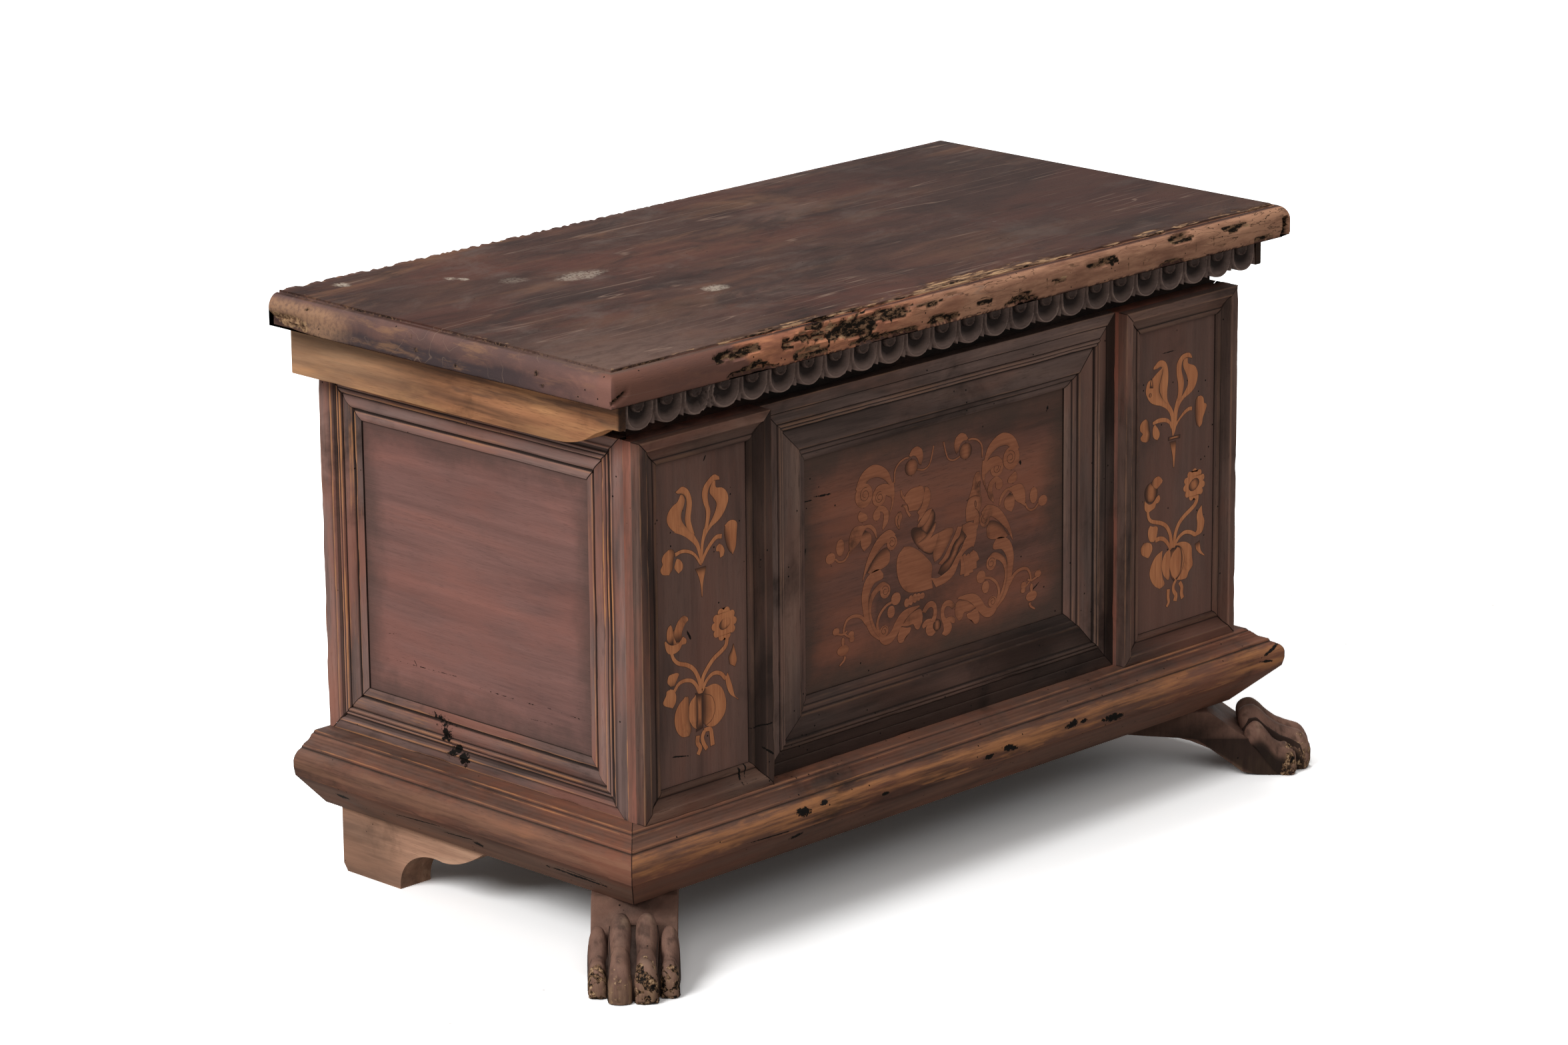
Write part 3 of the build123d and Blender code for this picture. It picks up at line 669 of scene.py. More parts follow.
pilasterInlayWood = makeInlay(
    "pilasterInlayWood", "z", pale=(0.59, 0.240, 0.106), tan=(0.40, 0.144, 0.064), smokeColor=(0.07, 0.034, 0.024),
    jointColor=(0.05, 0.026, 0.018), grimeAmount=0.3)
centreInlayWood = makeInlay(
    "centreInlayWood", "x", pale=(0.39, 0.150, 0.077), tan=(0.265, 0.096, 0.050), smokeColor=(0.065, 0.030, 0.020),
    jointColor=(0.040, 0.019, 0.013), grimeAmount=0.45)

ironLook = {
    "iron": (0.045, 0.040, 0.038),
    "rust": (0.125, 0.058, 0.034),
    "metallic": 0.55,
    "roughness": 0.55,
}


def makeIron(name):
    # dark forged iron, dulled by patches of brown rust that also roughen it
    material, g, place = newMaterial(name)
    rust = g.smooth(g.noise(place, 60.0, 6.0, 0.7), 0.42, 0.62)
    pitted = g.noise(place, 420.0, 4.0, 0.65)
    color = g.mixColor(g.smooth(g.plus(rust, g.times(pitted, 0.4)), 0.2, 1.1), ironLook["iron"], ironLook["rust"])
    roughness = g.smooth(rust, 0.0, 1.0, ironLook["roughness"], ironLook["roughness"] + 0.25)
    g.surface(color, roughness, 0.5, g.plus(pitted, g.times(rust, 0.6)), 0.35, 0.0005, Metallic=ironLook["metallic"])
    return material


lidColors = {
    "dark": (0.024, 0.013, 0.011),
    "mid": (0.056, 0.029, 0.023),
    "light": (0.100, 0.048, 0.032),
    "rubbed": (0.195, 0.098, 0.056),
    "red": (0.095, 0.036, 0.026),
    "soot": (0.028, 0.017, 0.015),
    "dust": (0.15, 0.115, 0.098),
    "corner": (0.135, 0.082, 0.064),
    "tan": (0.42, 0.22, 0.135),
    "tanDark": (0.22, 0.105, 0.067),
    "orange": (0.54, 0.230, 0.120),
    "orangeDark": (0.29, 0.118, 0.072),
    "edgeDark": (0.066, 0.047, 0.048),
    "edgeRed": (0.145, 0.080, 0.067),
    "edgeGold": (0.28, 0.150, 0.085),
    "edgeNear": (0.255, 0.125, 0.100),
    "edgeFar": (0.35, 0.200, 0.120),
    "front": (0.175, 0.080, 0.058),
    "scratch": (0.24, 0.16, 0.12),
    "spot": (0.42, 0.35, 0.28),
    "pale": (0.42, 0.26, 0.145),
    "paleDark": (0.15, 0.082, 0.050),
    "bare": (0.23, 0.135, 0.088),
    "bareDark": (0.070, 0.040, 0.028),
    "crumb": (0.17, 0.095, 0.055),
    "pit": (0.010, 0.007, 0.005),
}
# whitish spots on the field: place, half sizes, strength
lidSpots = (
    (-0.429, 0.234, 0.010, 0.011, 0.8), (-0.338, 0.173, 0.007, 0.009, 0.7), (-0.331, 0.162, 0.006, 0.008, 0.8),
    (-0.241, 0.086, 0.036, 0.018, 0.5), (-0.186, -0.053, 0.021, 0.014, 0.65), (-0.300, 0.120, 0.020, 0.016, 0.22),
)


# clouds on the field: colour, amount, where the cloud starts and is full, how it is moved and stretched, its kind
lidClouds = (
    ("rubbed", 0.7, 0.48, 0.66, (0, 0, 0), (4.0, 15.0, 15.0), 7.0, 0.70, 0.6),
    ("red", 0.6, 0.44, 0.64, (4.0, 0, 0), (3.5, 8.0, 8.0), 6.0, 0.68, 0.5),
    ("dust", 0.38, 0.50, 0.68, (0, 9.0, 0), (5.0, 9.0, 9.0), 8.0, 0.74, 0.4),
    ("soot", 0.72, 0.50, 0.66, (7.0, 2.0, 0), (6.0, 12.0, 12.0), 7.0, 0.70, 0.7),
)


def makeLidWood():
    # Field: dark walnut with tan wear along the grain, cloudy grime, scratches and a few whitish spots. Edge: worn
    # tan where marked, patchy elsewhere. Eaten wood: pale crumbs and black pits; the same dark mark also paints the
    # shade in the hollow and the shadow beside lifted splinters. All masks come from the mesh.
    look = lidColors
    material, g, place = newMaterial("lidWalnut")
    x, y, z = g.parts(place)
    edge, tan, bare, pale, dark = (g.mark(name) for name in ("edge", "tan", "bare", "pale", "dark"))
    patchy = g.drawn(place, (9.0, 16.0, 30.0), 5.0, 0.62, 0.5)
    fine = g.drawn(place, (30.0, 220.0, 220.0), 4.0, 0.65)
    grain = addGroup(g, woodGrain, Vector=g.mapped(place, (2.0, 0.62, 0.62)), Dark=look["dark"], Mid=look["mid"],
                     Light=look["light"], Fibre=0.34, Pores=0.5)
    color = grain["Color"]
    # the field is rubbed more towards its back, and grey at its near left corner
    backward = g.smooth(y, -0.02, 0.26, 0.30, 1.0)
    for tone, amount, low, high, move, scale, *kind in lidClouds:
        mask = g.smooth(g.drawn(place, scale, *kind, move=move), low, high)
        color = g.tint(color, g.times(mask, backward) if tone == "rubbed" else mask, amount, look[tone])
    cornerward = g.times(g.smooth(x, -0.20, -0.46), g.smooth(y, -0.03, -0.20))
    grit = g.drawn(place, (40.0, 90.0, 90.0), 5.0, 0.7)
    color = g.tint(color, cornerward, g.smooth(grit, 0.35, 0.6, 0.45, 0.95), look["corner"])
    # the moulded edge, tan where marked and more orange to the left
    lit = g.smooth(g.plus(g.times(patchy, 0.7), g.times(fine, 0.4)), 0.42, 0.70)
    leftward = g.smooth(g.plus(x, g.swing(patchy, 0.5)), -0.22, 0.02, 1.0, 0.0)
    tanWood = g.mixColor(lit, g.mixColor(leftward, look["tanDark"], look["orangeDark"]),
                         g.mixColor(leftward, look["tan"], look["orange"]))
    # above: the upper round keeps the redder colour; the face below it is painted darker, as shade under the round
    above = g.smooth(g.plus(z, g.swing(patchy, 0.016)), 0.599, 0.606)
    edgeWood = g.mixColor(g.smooth(patchy, 0.42, 0.62), look["edgeDark"],
                          g.mixColor(above, look["edgeDark"], look["edgeRed"]))
    golden = g.smooth(g.drawn(place, (12.0, 9.0, 60.0), 6.0, 0.68, move=(0, 2.0, 7.0)), 0.52, 0.66)
    onEnd = g.smooth(x, -0.492, -0.499)
    farBack = g.smooth(g.plus(y, g.swing(patchy, 0.12)), 0.12, 0.20)
    for tone, mask, amount in (
        ("edgeRed", above, 0.55),
        ("edgeGold", golden, 0.6),
        ("front", g.smooth(y, -0.205, -0.216), g.smooth(patchy, 0.3, 0.6, 0.55, 0.95)),
        ("edgeNear", g.times(onEnd, g.smooth(y, -0.06, -0.20)), g.smooth(patchy, 0.3, 0.6, 0.25, 0.7)),
        ("edgeFar", g.times(onEnd, farBack), g.smooth(fine, 0.3, 0.6, 0.35, 0.9)),
    ):
        edgeWood = g.tint(edgeWood, mask, amount, look[tone])
    color = g.mixColor(edge, color, g.mixColor(tan, edgeWood, tanWood))
    # bare wood under lifted splinters, then darker towards the right, scratches and specks
    color = g.tint(color, bare, 0.9, g.mixColor(g.smooth(fine, 0.38, 0.60), look["bareDark"], look["bare"]))
    color = g.tint(color, g.smooth(x, -0.20, 0.42), g.minus(0.52, g.times(edge, 0.52)), look["soot"])
    scratch = addGroup(g, fineScratches, Vector=place, Amount=0.55)["Mask"]
    color = g.mixColor(scratch, color, look["scratch"])
    color = g.tint(color, g.smooth(g.noise(place, 46.0, 3.0, 0.7), 0.735, 0.77), 0.5, look["dust"])
    # whitish spots with ragged rims, on the top only
    ragged = g.swing(g.noise(place, 70.0, 4.0, 0.7), 1.6)
    broken = g.times(g.minus(1.0, edge), g.smooth(g.noise(place, 330.0, 3.0, 0.6), 0.36, 0.52))
    onTop = g.times(broken, g.smooth(z, 0.604, 0.612))
    for spotX, spotY, wide, deep, strength in lidSpots:
        away = g.length(g.mapped(place, (1.0 / wide, 1.0 / deep, 0.0), (-spotX / wide, -spotY / deep, 0.0)))
        inside = g.times(g.smooth(g.plus(away, ragged), 0.35, 1.0, 1.0, 0.0), onTop)
        color = g.tint(color, inside, strength, look["spot"])
    # eaten wood: pale fibres, rotten crumbs over black pits, shrinkage cracks and worm holes; the dark mark also
    # holds painted shade in the hollow and painted shadow beside lifted splinters
    paleWood = g.mixColor(g.smooth(fine, 0.40, 0.62), look["paleDark"], look["pale"])
    color = g.mixColor(g.smooth(g.plus(pale, g.swing(fine, 0.9)), 0.3, 0.8), color, paleWood)
    crumbs = g.drawn(place, (110.0, 260.0, 260.0), 4.0, 0.7)
    rotten = g.mixColor(g.smooth(crumbs, 0.47, 0.60), look["pit"], look["crumb"])
    color = g.mixColor(g.smooth(g.plus(dark, g.swing(fine, 0.8)), 0.3, 0.85), color, rotten)
    crackLine = g.math("ABSOLUTE", g.minus(g.drawn(place, (16.0, 90.0, 110.0), 3.0, 0.5), 0.5))
    cracks = g.times(g.smooth(crackLine, 0.0, 0.011, 1.0, 0.0), g.times(tan, g.smooth(patchy, 0.42, 0.58)))
    color = g.tint(color, cracks, 0.8, look["pit"])
    holes = addGroup(g, wormHoles, Vector=place, Amount=g.smooth(tan, 0.0, 1.0, 0.05, 0.45), Cells=190.0)["Mask"]
    color = g.mixColor(holes, color, look["pit"])
    height = g.minus(g.plus(grain["Height"], g.times(fine, 0.5)), g.times(holes, 2.0))
    height = g.minus(height, g.times(cracks, 1.2))
    roughness = g.plus(g.smooth(edge, 0.0, 1.0, 0.62, 0.45), g.times(g.most(pale, dark), 0.3))
    g.surface(color, roughness, 0.03, height, 0.4, 0.0007)
    return material


def paint(material, *names):
    for name in names:
        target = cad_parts[name]
        target.data.materials.clear()
        target.data.materials.append(material)


caseLook = {
    "mid": (0.125, 0.075, 0.048), "light": (0.21, 0.13, 0.08), "patch": (0.17, 0.085, 0.055), "patchAmount": 0.35,
}
centreFrameLook = {
    "dark": (0.066, 0.046, 0.039), "mid": (0.175, 0.115, 0.097), "light": (0.31, 0.195, 0.15),
    "patch": (0.25, 0.125, 0.092),
}
endFrameLook = {
    "dark": (0.105, 0.072, 0.064), "mid": (0.235, 0.145, 0.125), "light": (0.34, 0.19, 0.150),
    "patch": (0.35, 0.135, 0.092), "worn": (0.60, 0.27, 0.11), "grime": (0.020, 0.014, 0.012), "wear": 0.85,
    "patchAmount": 0.6,
}
plinthLook = {
    "dark": (0.060, 0.034, 0.027), "mid": (0.150, 0.074, 0.052), "light": (0.25, 0.115, 0.072),
    "patch": (0.24, 0.090, 0.054), "worn": (0.46, 0.20, 0.085), "grime": (0.022, 0.015, 0.012), "wear": 0.75,
    "dustAmount": 0.35, "worms": 0.2,
}


def holesInFront(face, reach, rows):
    # Holes and cracks in a surface that looks to the front, in millimetres. face: where the surface stands, reach: how
    # far in they go, each row: across, up, half width, half height, and the lean in degrees
    return tuple(((x / 1000, face / 1000, z / 1000), (wide / 1000, reach / 1000, high / 1000), (0, lean, 0))
                 for x, z, wide, high, lean in rows)


def holesInEnd(face, reach, rows):
    # the same in a surface that looks to the side
    return tuple(((face / 1000, y / 1000, z / 1000), (reach / 1000, wide / 1000, high / 1000), (lean, 0, 0))
                 for y, z, wide, high, lean in rows)


frontPlinthHurts = holesInFront(-240, 20, (
    (-253.7, 129.3, 11, 4.5, 8), (-223.3, 131.5, 6, 2.8, 0), (-135.8, 119.7, 4.8, 2.2, 0), (49.4, 123.8, 11, 3.2, 10),
    (18, 121.3, 8, 2.6, 0), (146.2, 126.8, 10, 3.6, -8), (164, 125.4, 6, 2.2, 0), (210.3, 118.2, 17, 4.2, 6),
    (470, 133, 16, 1.6, -14), (460, 123, 10, 1.4, 10), (-300, 115, 30, 0.7, 2),
)) + holesInFront(-230, 20, (
    (-251.2, 100.7, 10, 3, -6),
))
leftPlinthHurts = holesInEnd(-480, 20, (
    (205.8, 97.4, 8.5, 3, 0), (85, 101, 36, 1, -5), (6.1, 92.5, 7, 4.2, 0), (32, 96, 26, 1.1, -5),
    (-142, 94, 47, 2.6, 2), (-150, 99, 30, 0.9, 4),
))
endHurts = holesInEnd(-452, 20, (
    (83, 183, 12, 8, 35), (69, 170, 15, 7, -30), (92, 196, 20, 6, 10), (56, 164, 9, 9, 0), (184, 400, 1.2, 5, 0),
))
pilasterHurts = holesInFront(-210, 20, (
    (-281.4, 217.8, 20, 1, -4), (-300, 178, 1, 14, 6), (-308, 174, 1.6, 10, -8), (-270, 190, 8, 1.2, 35),
))
centrePanelHurts = holesInFront(-170, 20, (
    (-190, 425, 12, 0.8, 2), (-165, 426.5, 14, 1.1, 4), (-192, 372, 3.5, 5, 20), (170, 452, 2, 4.5, 20),
    (128, 402, 1.6, 3, 0), (150, 262, 10, 1, -30),
))
pilasterPanelHurts = holesInFront(-200, 20, (
    (339, 483, 11, 0.6, 0), (-384, 210, 12, 0.8, 10), (-346, 505, 1, 3.4, 30), (-370, 330, 1.4, 5, -30),
))
panelHurts = holesInEnd(-443, 10, (
    (115, 244, 70, 0.6, -1.5), (-5, 240, 62, 0.8, 0), (-80, 240.5, 50, 0.9, 1.5), (170, 270, 16, 0.6, -8),
    (-50, 225, 30, 0.4, -3), (135, 247, 5, 0.6, 50),
))

lidWood = makeLidWood()
cleatWood = makeWood("cleatWalnut", "y", useWorn=True, dark=(0.14, 0.070, 0.042), mid=(0.42, 0.190, 0.094),
                     light=(0.66, 0.34, 0.155), patch=(0.16, 0.078, 0.050), patchAmount=0.75, worn=(0.50, 0.26, 0.12),
                     grimeAmount=0.45, worms=0.35, band=(0.556, 0.600, (0.135, 0.076, 0.053), 0.85),
                     fades=((1, 0.02, 0.20, (0.72, 0.44, 0.25), 0.5),))
carvedWood = makeWood("carvedWalnut", "x", useWorn=True, dark=(0.115, 0.082, 0.072), mid=(0.20, 0.140, 0.120),
                      light=(0.27, 0.185, 0.155), patch=(0.19, 0.13, 0.108), worn=(0.38, 0.275, 0.228), wear=0.8,
                      grime=(0.026, 0.019, 0.017), grimeAmount=0.3)
caseWoodX, caseWoodY = (makeWood("carcass" + axis.upper(), axis, **caseLook) for axis in "xy")
frameWoodX, frameWoodZ = (makeWood("moulding" + axis.upper(), axis, useWorn=True, hurts=pilasterHurts) for axis in "xz")
centreFrameWoodX, centreFrameWoodZ = (
    makeWood("centreMoulding" + axis.upper(), axis, useWorn=True, **centreFrameLook) for axis in "xz")
endFrameWoodY = makeWood("endMouldingY", "y", useWorn=True, hurts=endHurts,
                         fades=((2, 0.46, 0.51, (0.42, 0.29, 0.26), 0.45),), **endFrameLook)
endFrameWoodZ = makeWood("endMouldingZ", "z", useWorn=True, hurts=endHurts, **endFrameLook)
# fades on both plinth lengths: the down-facing chamfer under the nose is painted lighter, as light on it
frameBaseX = makeWood("plinthX", "x", useWorn=True, hurts=frontPlinthHurts,
                      band=(0.112, 0.140, (0.46, 0.20, 0.085), 0.85),
                      fades=((2, 0.112, 0.100, (0.26, 0.155, 0.115), 0.4),), **plinthLook)
frameBaseY = makeWood("plinthY", "y", useWorn=True, hurts=leftPlinthHurts,
                      band=(0.112, 0.136, (0.24, 0.12, 0.075), 0.6),
                      fades=((2, 0.112, 0.100, (0.27, 0.175, 0.130), 0.5),), **plinthLook)
# the front board shows only under the carved strip and inside: its near black is painted shadow, and its border above
# the frames a blacker painted shadow
frontBoardShadow = makeWood("frontBoard", "x", mid=(0.05, 0.033, 0.027), light=(0.08, 0.05, 0.04),
                          dark=(0.025, 0.018, 0.015),
                          border=((0, 2), (0.0, 0.30), (0.5, 0.245), 0.02, (0.012, 0.009, 0.008), 0.9))
blockWood = makeWood("pilasterBlock", "z", dark=(0.13, 0.070, 0.055), mid=(0.27, 0.120, 0.088),
                     light=(0.38, 0.16, 0.105), patch=(0.42, 0.13, 0.080))
endPanelWood = makeWood("endPanelWalnut", "y", dark=(0.13, 0.072, 0.064), mid=(0.21, 0.108, 0.093),
                        light=(0.27, 0.125, 0.102), patch=(0.26, 0.112, 0.090), grime=(0.10, 0.065, 0.055),
                        grimeAmount=0.35, fibre=0.25, hurts=panelHurts,
                        border=((1, 2), (0.0395, 0.3465), (0.165, 0.1415), 0.035, (0.085, 0.056, 0.048), 0.7))
centreWood = makeWood("centreGround", "x", dark=(0.085, 0.048, 0.038), mid=(0.170, 0.080, 0.060),
                      light=(0.25, 0.106, 0.070), patch=(0.28, 0.103, 0.061), patchAmount=0.65,
                      grime=(0.05, 0.035, 0.03), fibre=0.28, hurts=centrePanelHurts,
                      border=((0, 2), (0.0, 0.3465), (0.193, 0.122), 0.045, (0.070, 0.050, 0.040), 0.8))
pilasterWood = makeWood("pilasterGround", "z", dark=(0.085, 0.052, 0.043), mid=(0.148, 0.086, 0.069),
                        light=(0.19, 0.102, 0.078), patch=(0.185, 0.086, 0.063), grime=(0.05, 0.034, 0.029),
                        grimeAmount=0.4, fibre=0.25, fades=((0, 0.1, 0.3, (0.085, 0.055, 0.046), 0.28),),
                        hurts=pilasterPanelHurts)
footWood = makeWood("footWalnut", "y", dark=(0.20, 0.118, 0.082), mid=(0.42, 0.235, 0.155), light=(0.64, 0.40, 0.27),
                    patch=(0.32, 0.17, 0.11), grimeAmount=0.35)
pawWood = makeWood("pawWalnut", "z", useWorn=True, dark=(0.095, 0.054, 0.042), mid=(0.175, 0.098, 0.073),
                   light=(0.26, 0.150, 0.108), patch=(0.19, 0.10, 0.072), worn=(0.34, 0.22, 0.15), wear=0.6,
                   crumbs=((0.16, 0.09, 0.05), (0.50, 0.33, 0.19)), band=(-0.01, 0.026, (0.34, 0.215, 0.125), 0.55))

hingeIron = makeIron("hingeIron")

paint(lidWood, "lid_board")
paint(cleatWood, "left_lid_cleat", "right_lid_cleat")
paint(carvedWood, "carved_strip")
paint(caseWoodX, "back_board", "bottom_board")
paint(frontBoardShadow, "front_board")
paint(caseWoodY, "left_end_board", "right_end_board")
paint(blockWood, "left_pilaster_block", "right_pilaster_block")
for hand in ("left", "right"):
    paint(endPanelWood, f"{hand}_end_panel")
    paint(pilasterWood, f"{hand}_pilaster_panel")
    paint(footWood, f"{hand}_back_foot")
    paint(pawWood, f"{hand}_paw_foot")
    paint(hingeIron, f"{hand}_hinge_case_leaf", f"{hand}_hinge_lid_leaf")
paint(centreWood, "centre_panel")
paint(hingeIron, "hinge_pins", "case_hinge_nails", "lid_hinge_nails")
print("frame painted")


# Frames

pilasterFrame = {
    "outline": [(0, 0), (0, 12), (9.8, 12), (10.6, 10.4), (13.4, 8.4), (17.5, 6.9), (21.8, 6.4), (22.6, 7.6),
                (24.4, 7.8), (26.4, 7.0), (28, 4.4)],
    "wear": 1.3,
    # for the bottom, right, top and left lengths: painted shade and dirt on the flat, where the flat ends, and on the
    # slope
    "shades": ((0.60, 9.8, 0.76), (0.62, 9.8, 0.86), (0.15, 9.8, 0.40), (0.0, 9.8, 0.45)),
}
# the right pilaster's frame: the same moulding with its own painted shade on each side
rightPilasterFrame = {
    **pilasterFrame,
    "shades": ((0.50, 9.8, 0.70), (0.15, 9.8, 0.55), (0.15, 9.8, 0.40), (0.0, 9.8, 0.40)),
}
centreFrame = {
    "outline": [(0, 0), (0, 13.5), (12, 13.5), (12.6, 12), (13.4, 13.2), (23.6, 13.6), (24.2, 12.2), (24.7, 14.6),
                (25.4, 15.6), (26.8, 15.6), (27.6, 14.6), (28, 13.4), (28.5, 14.4), (29.2, 15.1), (30.4, 15),
                (31, 14.2), (31.3, 12.2), (32, 11.6), (55, 13.4), (56, 11), (61, 10), (61.8, 8.4), (66.5, 7.6),
                (70, 5)],
    "wear": 1.1,
    # painted shade and dirt per side; the right flat is painted near black as shade beside the pilaster block
    "shades": ((0.80, 24, 0.68), (0.95, 14, 0.20), (0.0, 30, 0.30), (0.05, 30, 0.35)),
}
endFrame = {
    "outline": [(0, 0), (0, 11), (17, 11), (17.5, 12), (18.7, 12), (19.8, 10.4), (21, 8.9), (23, 8.1), (24.8, 8),
                (25.4, 9.4), (26.8, 9.4), (27.6, 8.6), (30.6, 10.6), (32, 10.4), (33, 7), (35.6, 8.9), (39.5, 9.6),
                (43.4, 9), (46, 7.2), (46.8, 4.8), (49, 4.8), (49.6, 6.8), (55.6, 6.2), (58, 5.2)],
    "wear": 1.0,
    # painted shade and dirt per side, darkest at the bottom
    "shades": ((0.30, 17, 0.30), (0.0, 17, 0.10), (0.0, 17, 0.0), (0.1, 17, 0.15)),
    "trim": 7.0,
}


def pieceName(*words):
    joined = "".join(word.capitalize() for word in "_".join(words).split("_"))
    return joined[0].lower() + joined[1:]


def trimmedOutline(outline, trim):
    # leaves off the outermost strip of an outline that starts with an upright side
    height = outline[1][1]
    return [(trim, 0), (trim, height)] + [p for p in outline[2:] if p[0] > trim]


def frameRound(prefix, look, sides, right, out, materials, seed, trims=(0, 0, 0, 0)):
    # Four lengths round a rectangle: bottom, right, top, left as seen from outside. The rectangle is what the
    # four nodes fill; where a side was cut narrower, the mitres still start from the uncut corner.
    boxes = [nodeBox(f"{prefix}_moulding_{side}") for side in sides]
    low, high = np.min([b[0] for b in boxes], axis=0), np.max([b[1] for b in boxes], axis=0)
    right, up, out = np.asarray(right, float), np.array([0.0, 0.0, 1.0]), np.asarray(out, float)
    back = np.where(out > 0, low, high) * np.abs(out)
    centre = (low + high) / 2
    turns = [(right, up), (up, -right), (-right, -up), (-up, right)]
    for index, ((alongAxis, acrossAxis), side) in enumerate(zip(turns, sides)):
        before, after = trims[index - 1], trims[(index + 1) % 4]
        run = 1000 * abs((high - low) @ alongAxis)
        reach = abs((high - low) @ acrossAxis)
        outline = trimmedOutline(look["outline"], trims[index]) if trims[index] else look["outline"]
        points, marks = mouldingRun(outline, (run / 2 + before, run / 2 + after), (1, 1), seed + index * 7,
                                    look["wear"], shade=look["shades"][index])
        place = centre * (1 - np.abs(out)) + back - acrossAxis * (reach / 2 + trims[index] / 1000.0)
        placed = np.clip(placedRun(points, place, alongAxis, acrossAxis, out), low, high)
        addPiece(pieceName(prefix, "moulding", side), [closedRun(placed, **marks)], materials[index % 2],
                 replaced=(f"{prefix}_moulding_{side}",))


frontSides = ("bottom", "right", "top", "left")
for prefix, look, materials, seed in (
    ("left_pilaster", pilasterFrame, (frameWoodX, frameWoodZ), 11),
    ("right_pilaster", rightPilasterFrame, (frameWoodX, frameWoodZ), 47),
    ("centre", centreFrame, (centreFrameWoodX, centreFrameWoodZ), 83),
):
    frameRound(prefix, look, frontSides, (1, 0, 0), (0, -1, 0), materials, seed)
for prefix, side, sides, seed in (("left_end", -1, ("bottom", "front", "top", "back"), 131),
                                  ("right_end", 1, ("bottom", "back", "top", "front"), 173)):
    frameRound(prefix, endFrame, sides, (0, side, 0), (side, 0, 0), (endFrameWoodY, endFrameWoodZ), seed,
               (endFrame["trim"], 0, endFrame["trim"], 0))
print("frames carved")

# Plinth mouldings

baseMoulding = {
    # out from the case line and up from the underside, in millimetres
    "outline": [(-12, 0), (-12, 81), (19.5, 81), (21, 78.4), (24, 77.4), (25.2, 75.2), (28, 72.6), (32, 70.8),
                (36.5, 69.4), (37.5, 66.4), (43, 64), (45.6, 62), (47.8, 59), (49, 55), (49, 48), (47, 39), (7, 0)],
    "wear": 2.2,
}


def addPlinth():
    # the front length is mitred outwards at both ends, the side lengths are mitred in front and square behind
    frontLow, frontHigh = nodeBox("front_base_moulding")
    sideHigh = nodeBox("left_base_moulding")[1]
    reach = baseMoulding["outline"][13][0]
    caseHalf = 1000 * frontHigh[0] - reach
    line = frontLow[1] + reach / 1000.0
    length = 1000 * (sideHigh[1] - line)
    rows = (
        ("front", (caseHalf, caseHalf), (-1, -1), (0, line), (1, 0, 0), (0, -1, 0), frameBaseX, 211),
        ("left", (0, length), (-1, 0), (-caseHalf / 1000, line), (0, 1, 0), (-1, 0, 0), frameBaseY, 223),
        ("right", (0, length), (-1, 0), (caseHalf / 1000, line), (0, 1, 0), (1, 0, 0), frameBaseY, 239),
    )
    for name, halves, mitre, spot, alongAxis, acrossAxis, material, seed in rows:
        points, marks = mouldingRun(baseMoulding["outline"], halves, mitre, seed, baseMoulding["wear"], step=4.0)
        placed = placedRun(points, (*spot, frontLow[2]), alongAxis, acrossAxis, (0, 0, 1))
        low, high = nodeBox(f"{name}_base_moulding")
        addPiece(f"{name}BaseMoulding", [closedRun(np.clip(placed, low, high), **marks)], material,
                 replaced=(f"{name}_base_moulding",))


addPlinth()
print("plinth carved")


# Lion's paws in front

pawLook = {
    # millimetres: in from the tips along the diagonal, across it, and up
    "length": 247.0,
    "plankHalf": 42.5,
    "innerToe": [(72, 38), (77, 52), (76.5, 64), (70, 70), (61, 71), (53, 66), (46, 59), (38, 53), (31, 49), (24, 46),
                 (17, 44), (9, 41), (3, 35), (-1, 27), (-2.5, 18), (-2, 8), (-0.5, 1.5)],
    "outerToe": [(67, 32), (72, 43), (70.5, 52), (64, 58.5), (58, 59), (52, 54), (46, 46), (40, 40), (33, 36),
                 (28, 36.5), (23, 34), (18, 28), (15.5, 20), (14.5, 12), (15, 5), (16, 1.5)],
    "innerSpine": [(60, 36), (44, 16), (30, 5), (17, 0.3), (13, 0.3)],
    "outerSpine": [(58, 30), (46, 14), (38, 5), (29, 0.3), (26, 0.3)],
    "plank": [(247, 73), (112, 73), (98, 63), (84, 53), (70, 43), (54, 40), (40, 30), (26, 23), (22, 12), (24, 0.4),
              (46, 0.4), (60, 1.6), (73, 4), (82, 11), (93, 19), (109, 31), (130, 40), (149, 45), (176, 46),
              (247, 52)],
    "core": [(90, 50), (74, 44), (66, 59), (58, 60), (46, 49), (33, 40), (20, 35), (10, 29), (6, 18), (8, 6),
             (10, 0.4), (46, 0.4), (90, 20)],
    # each toe: place across, half width, outer or not, how far its tip has crumbled on the left and on the right foot
    "toes": ((-35.0, 10.2, True, 0.60, 0.35), (-12.6, 12.8, False, 0.35, 0.3), (12.6, 12.8, False, 1.0, 0.45),
             (35.0, 10.2, True, 1.0, 0.9)),
}


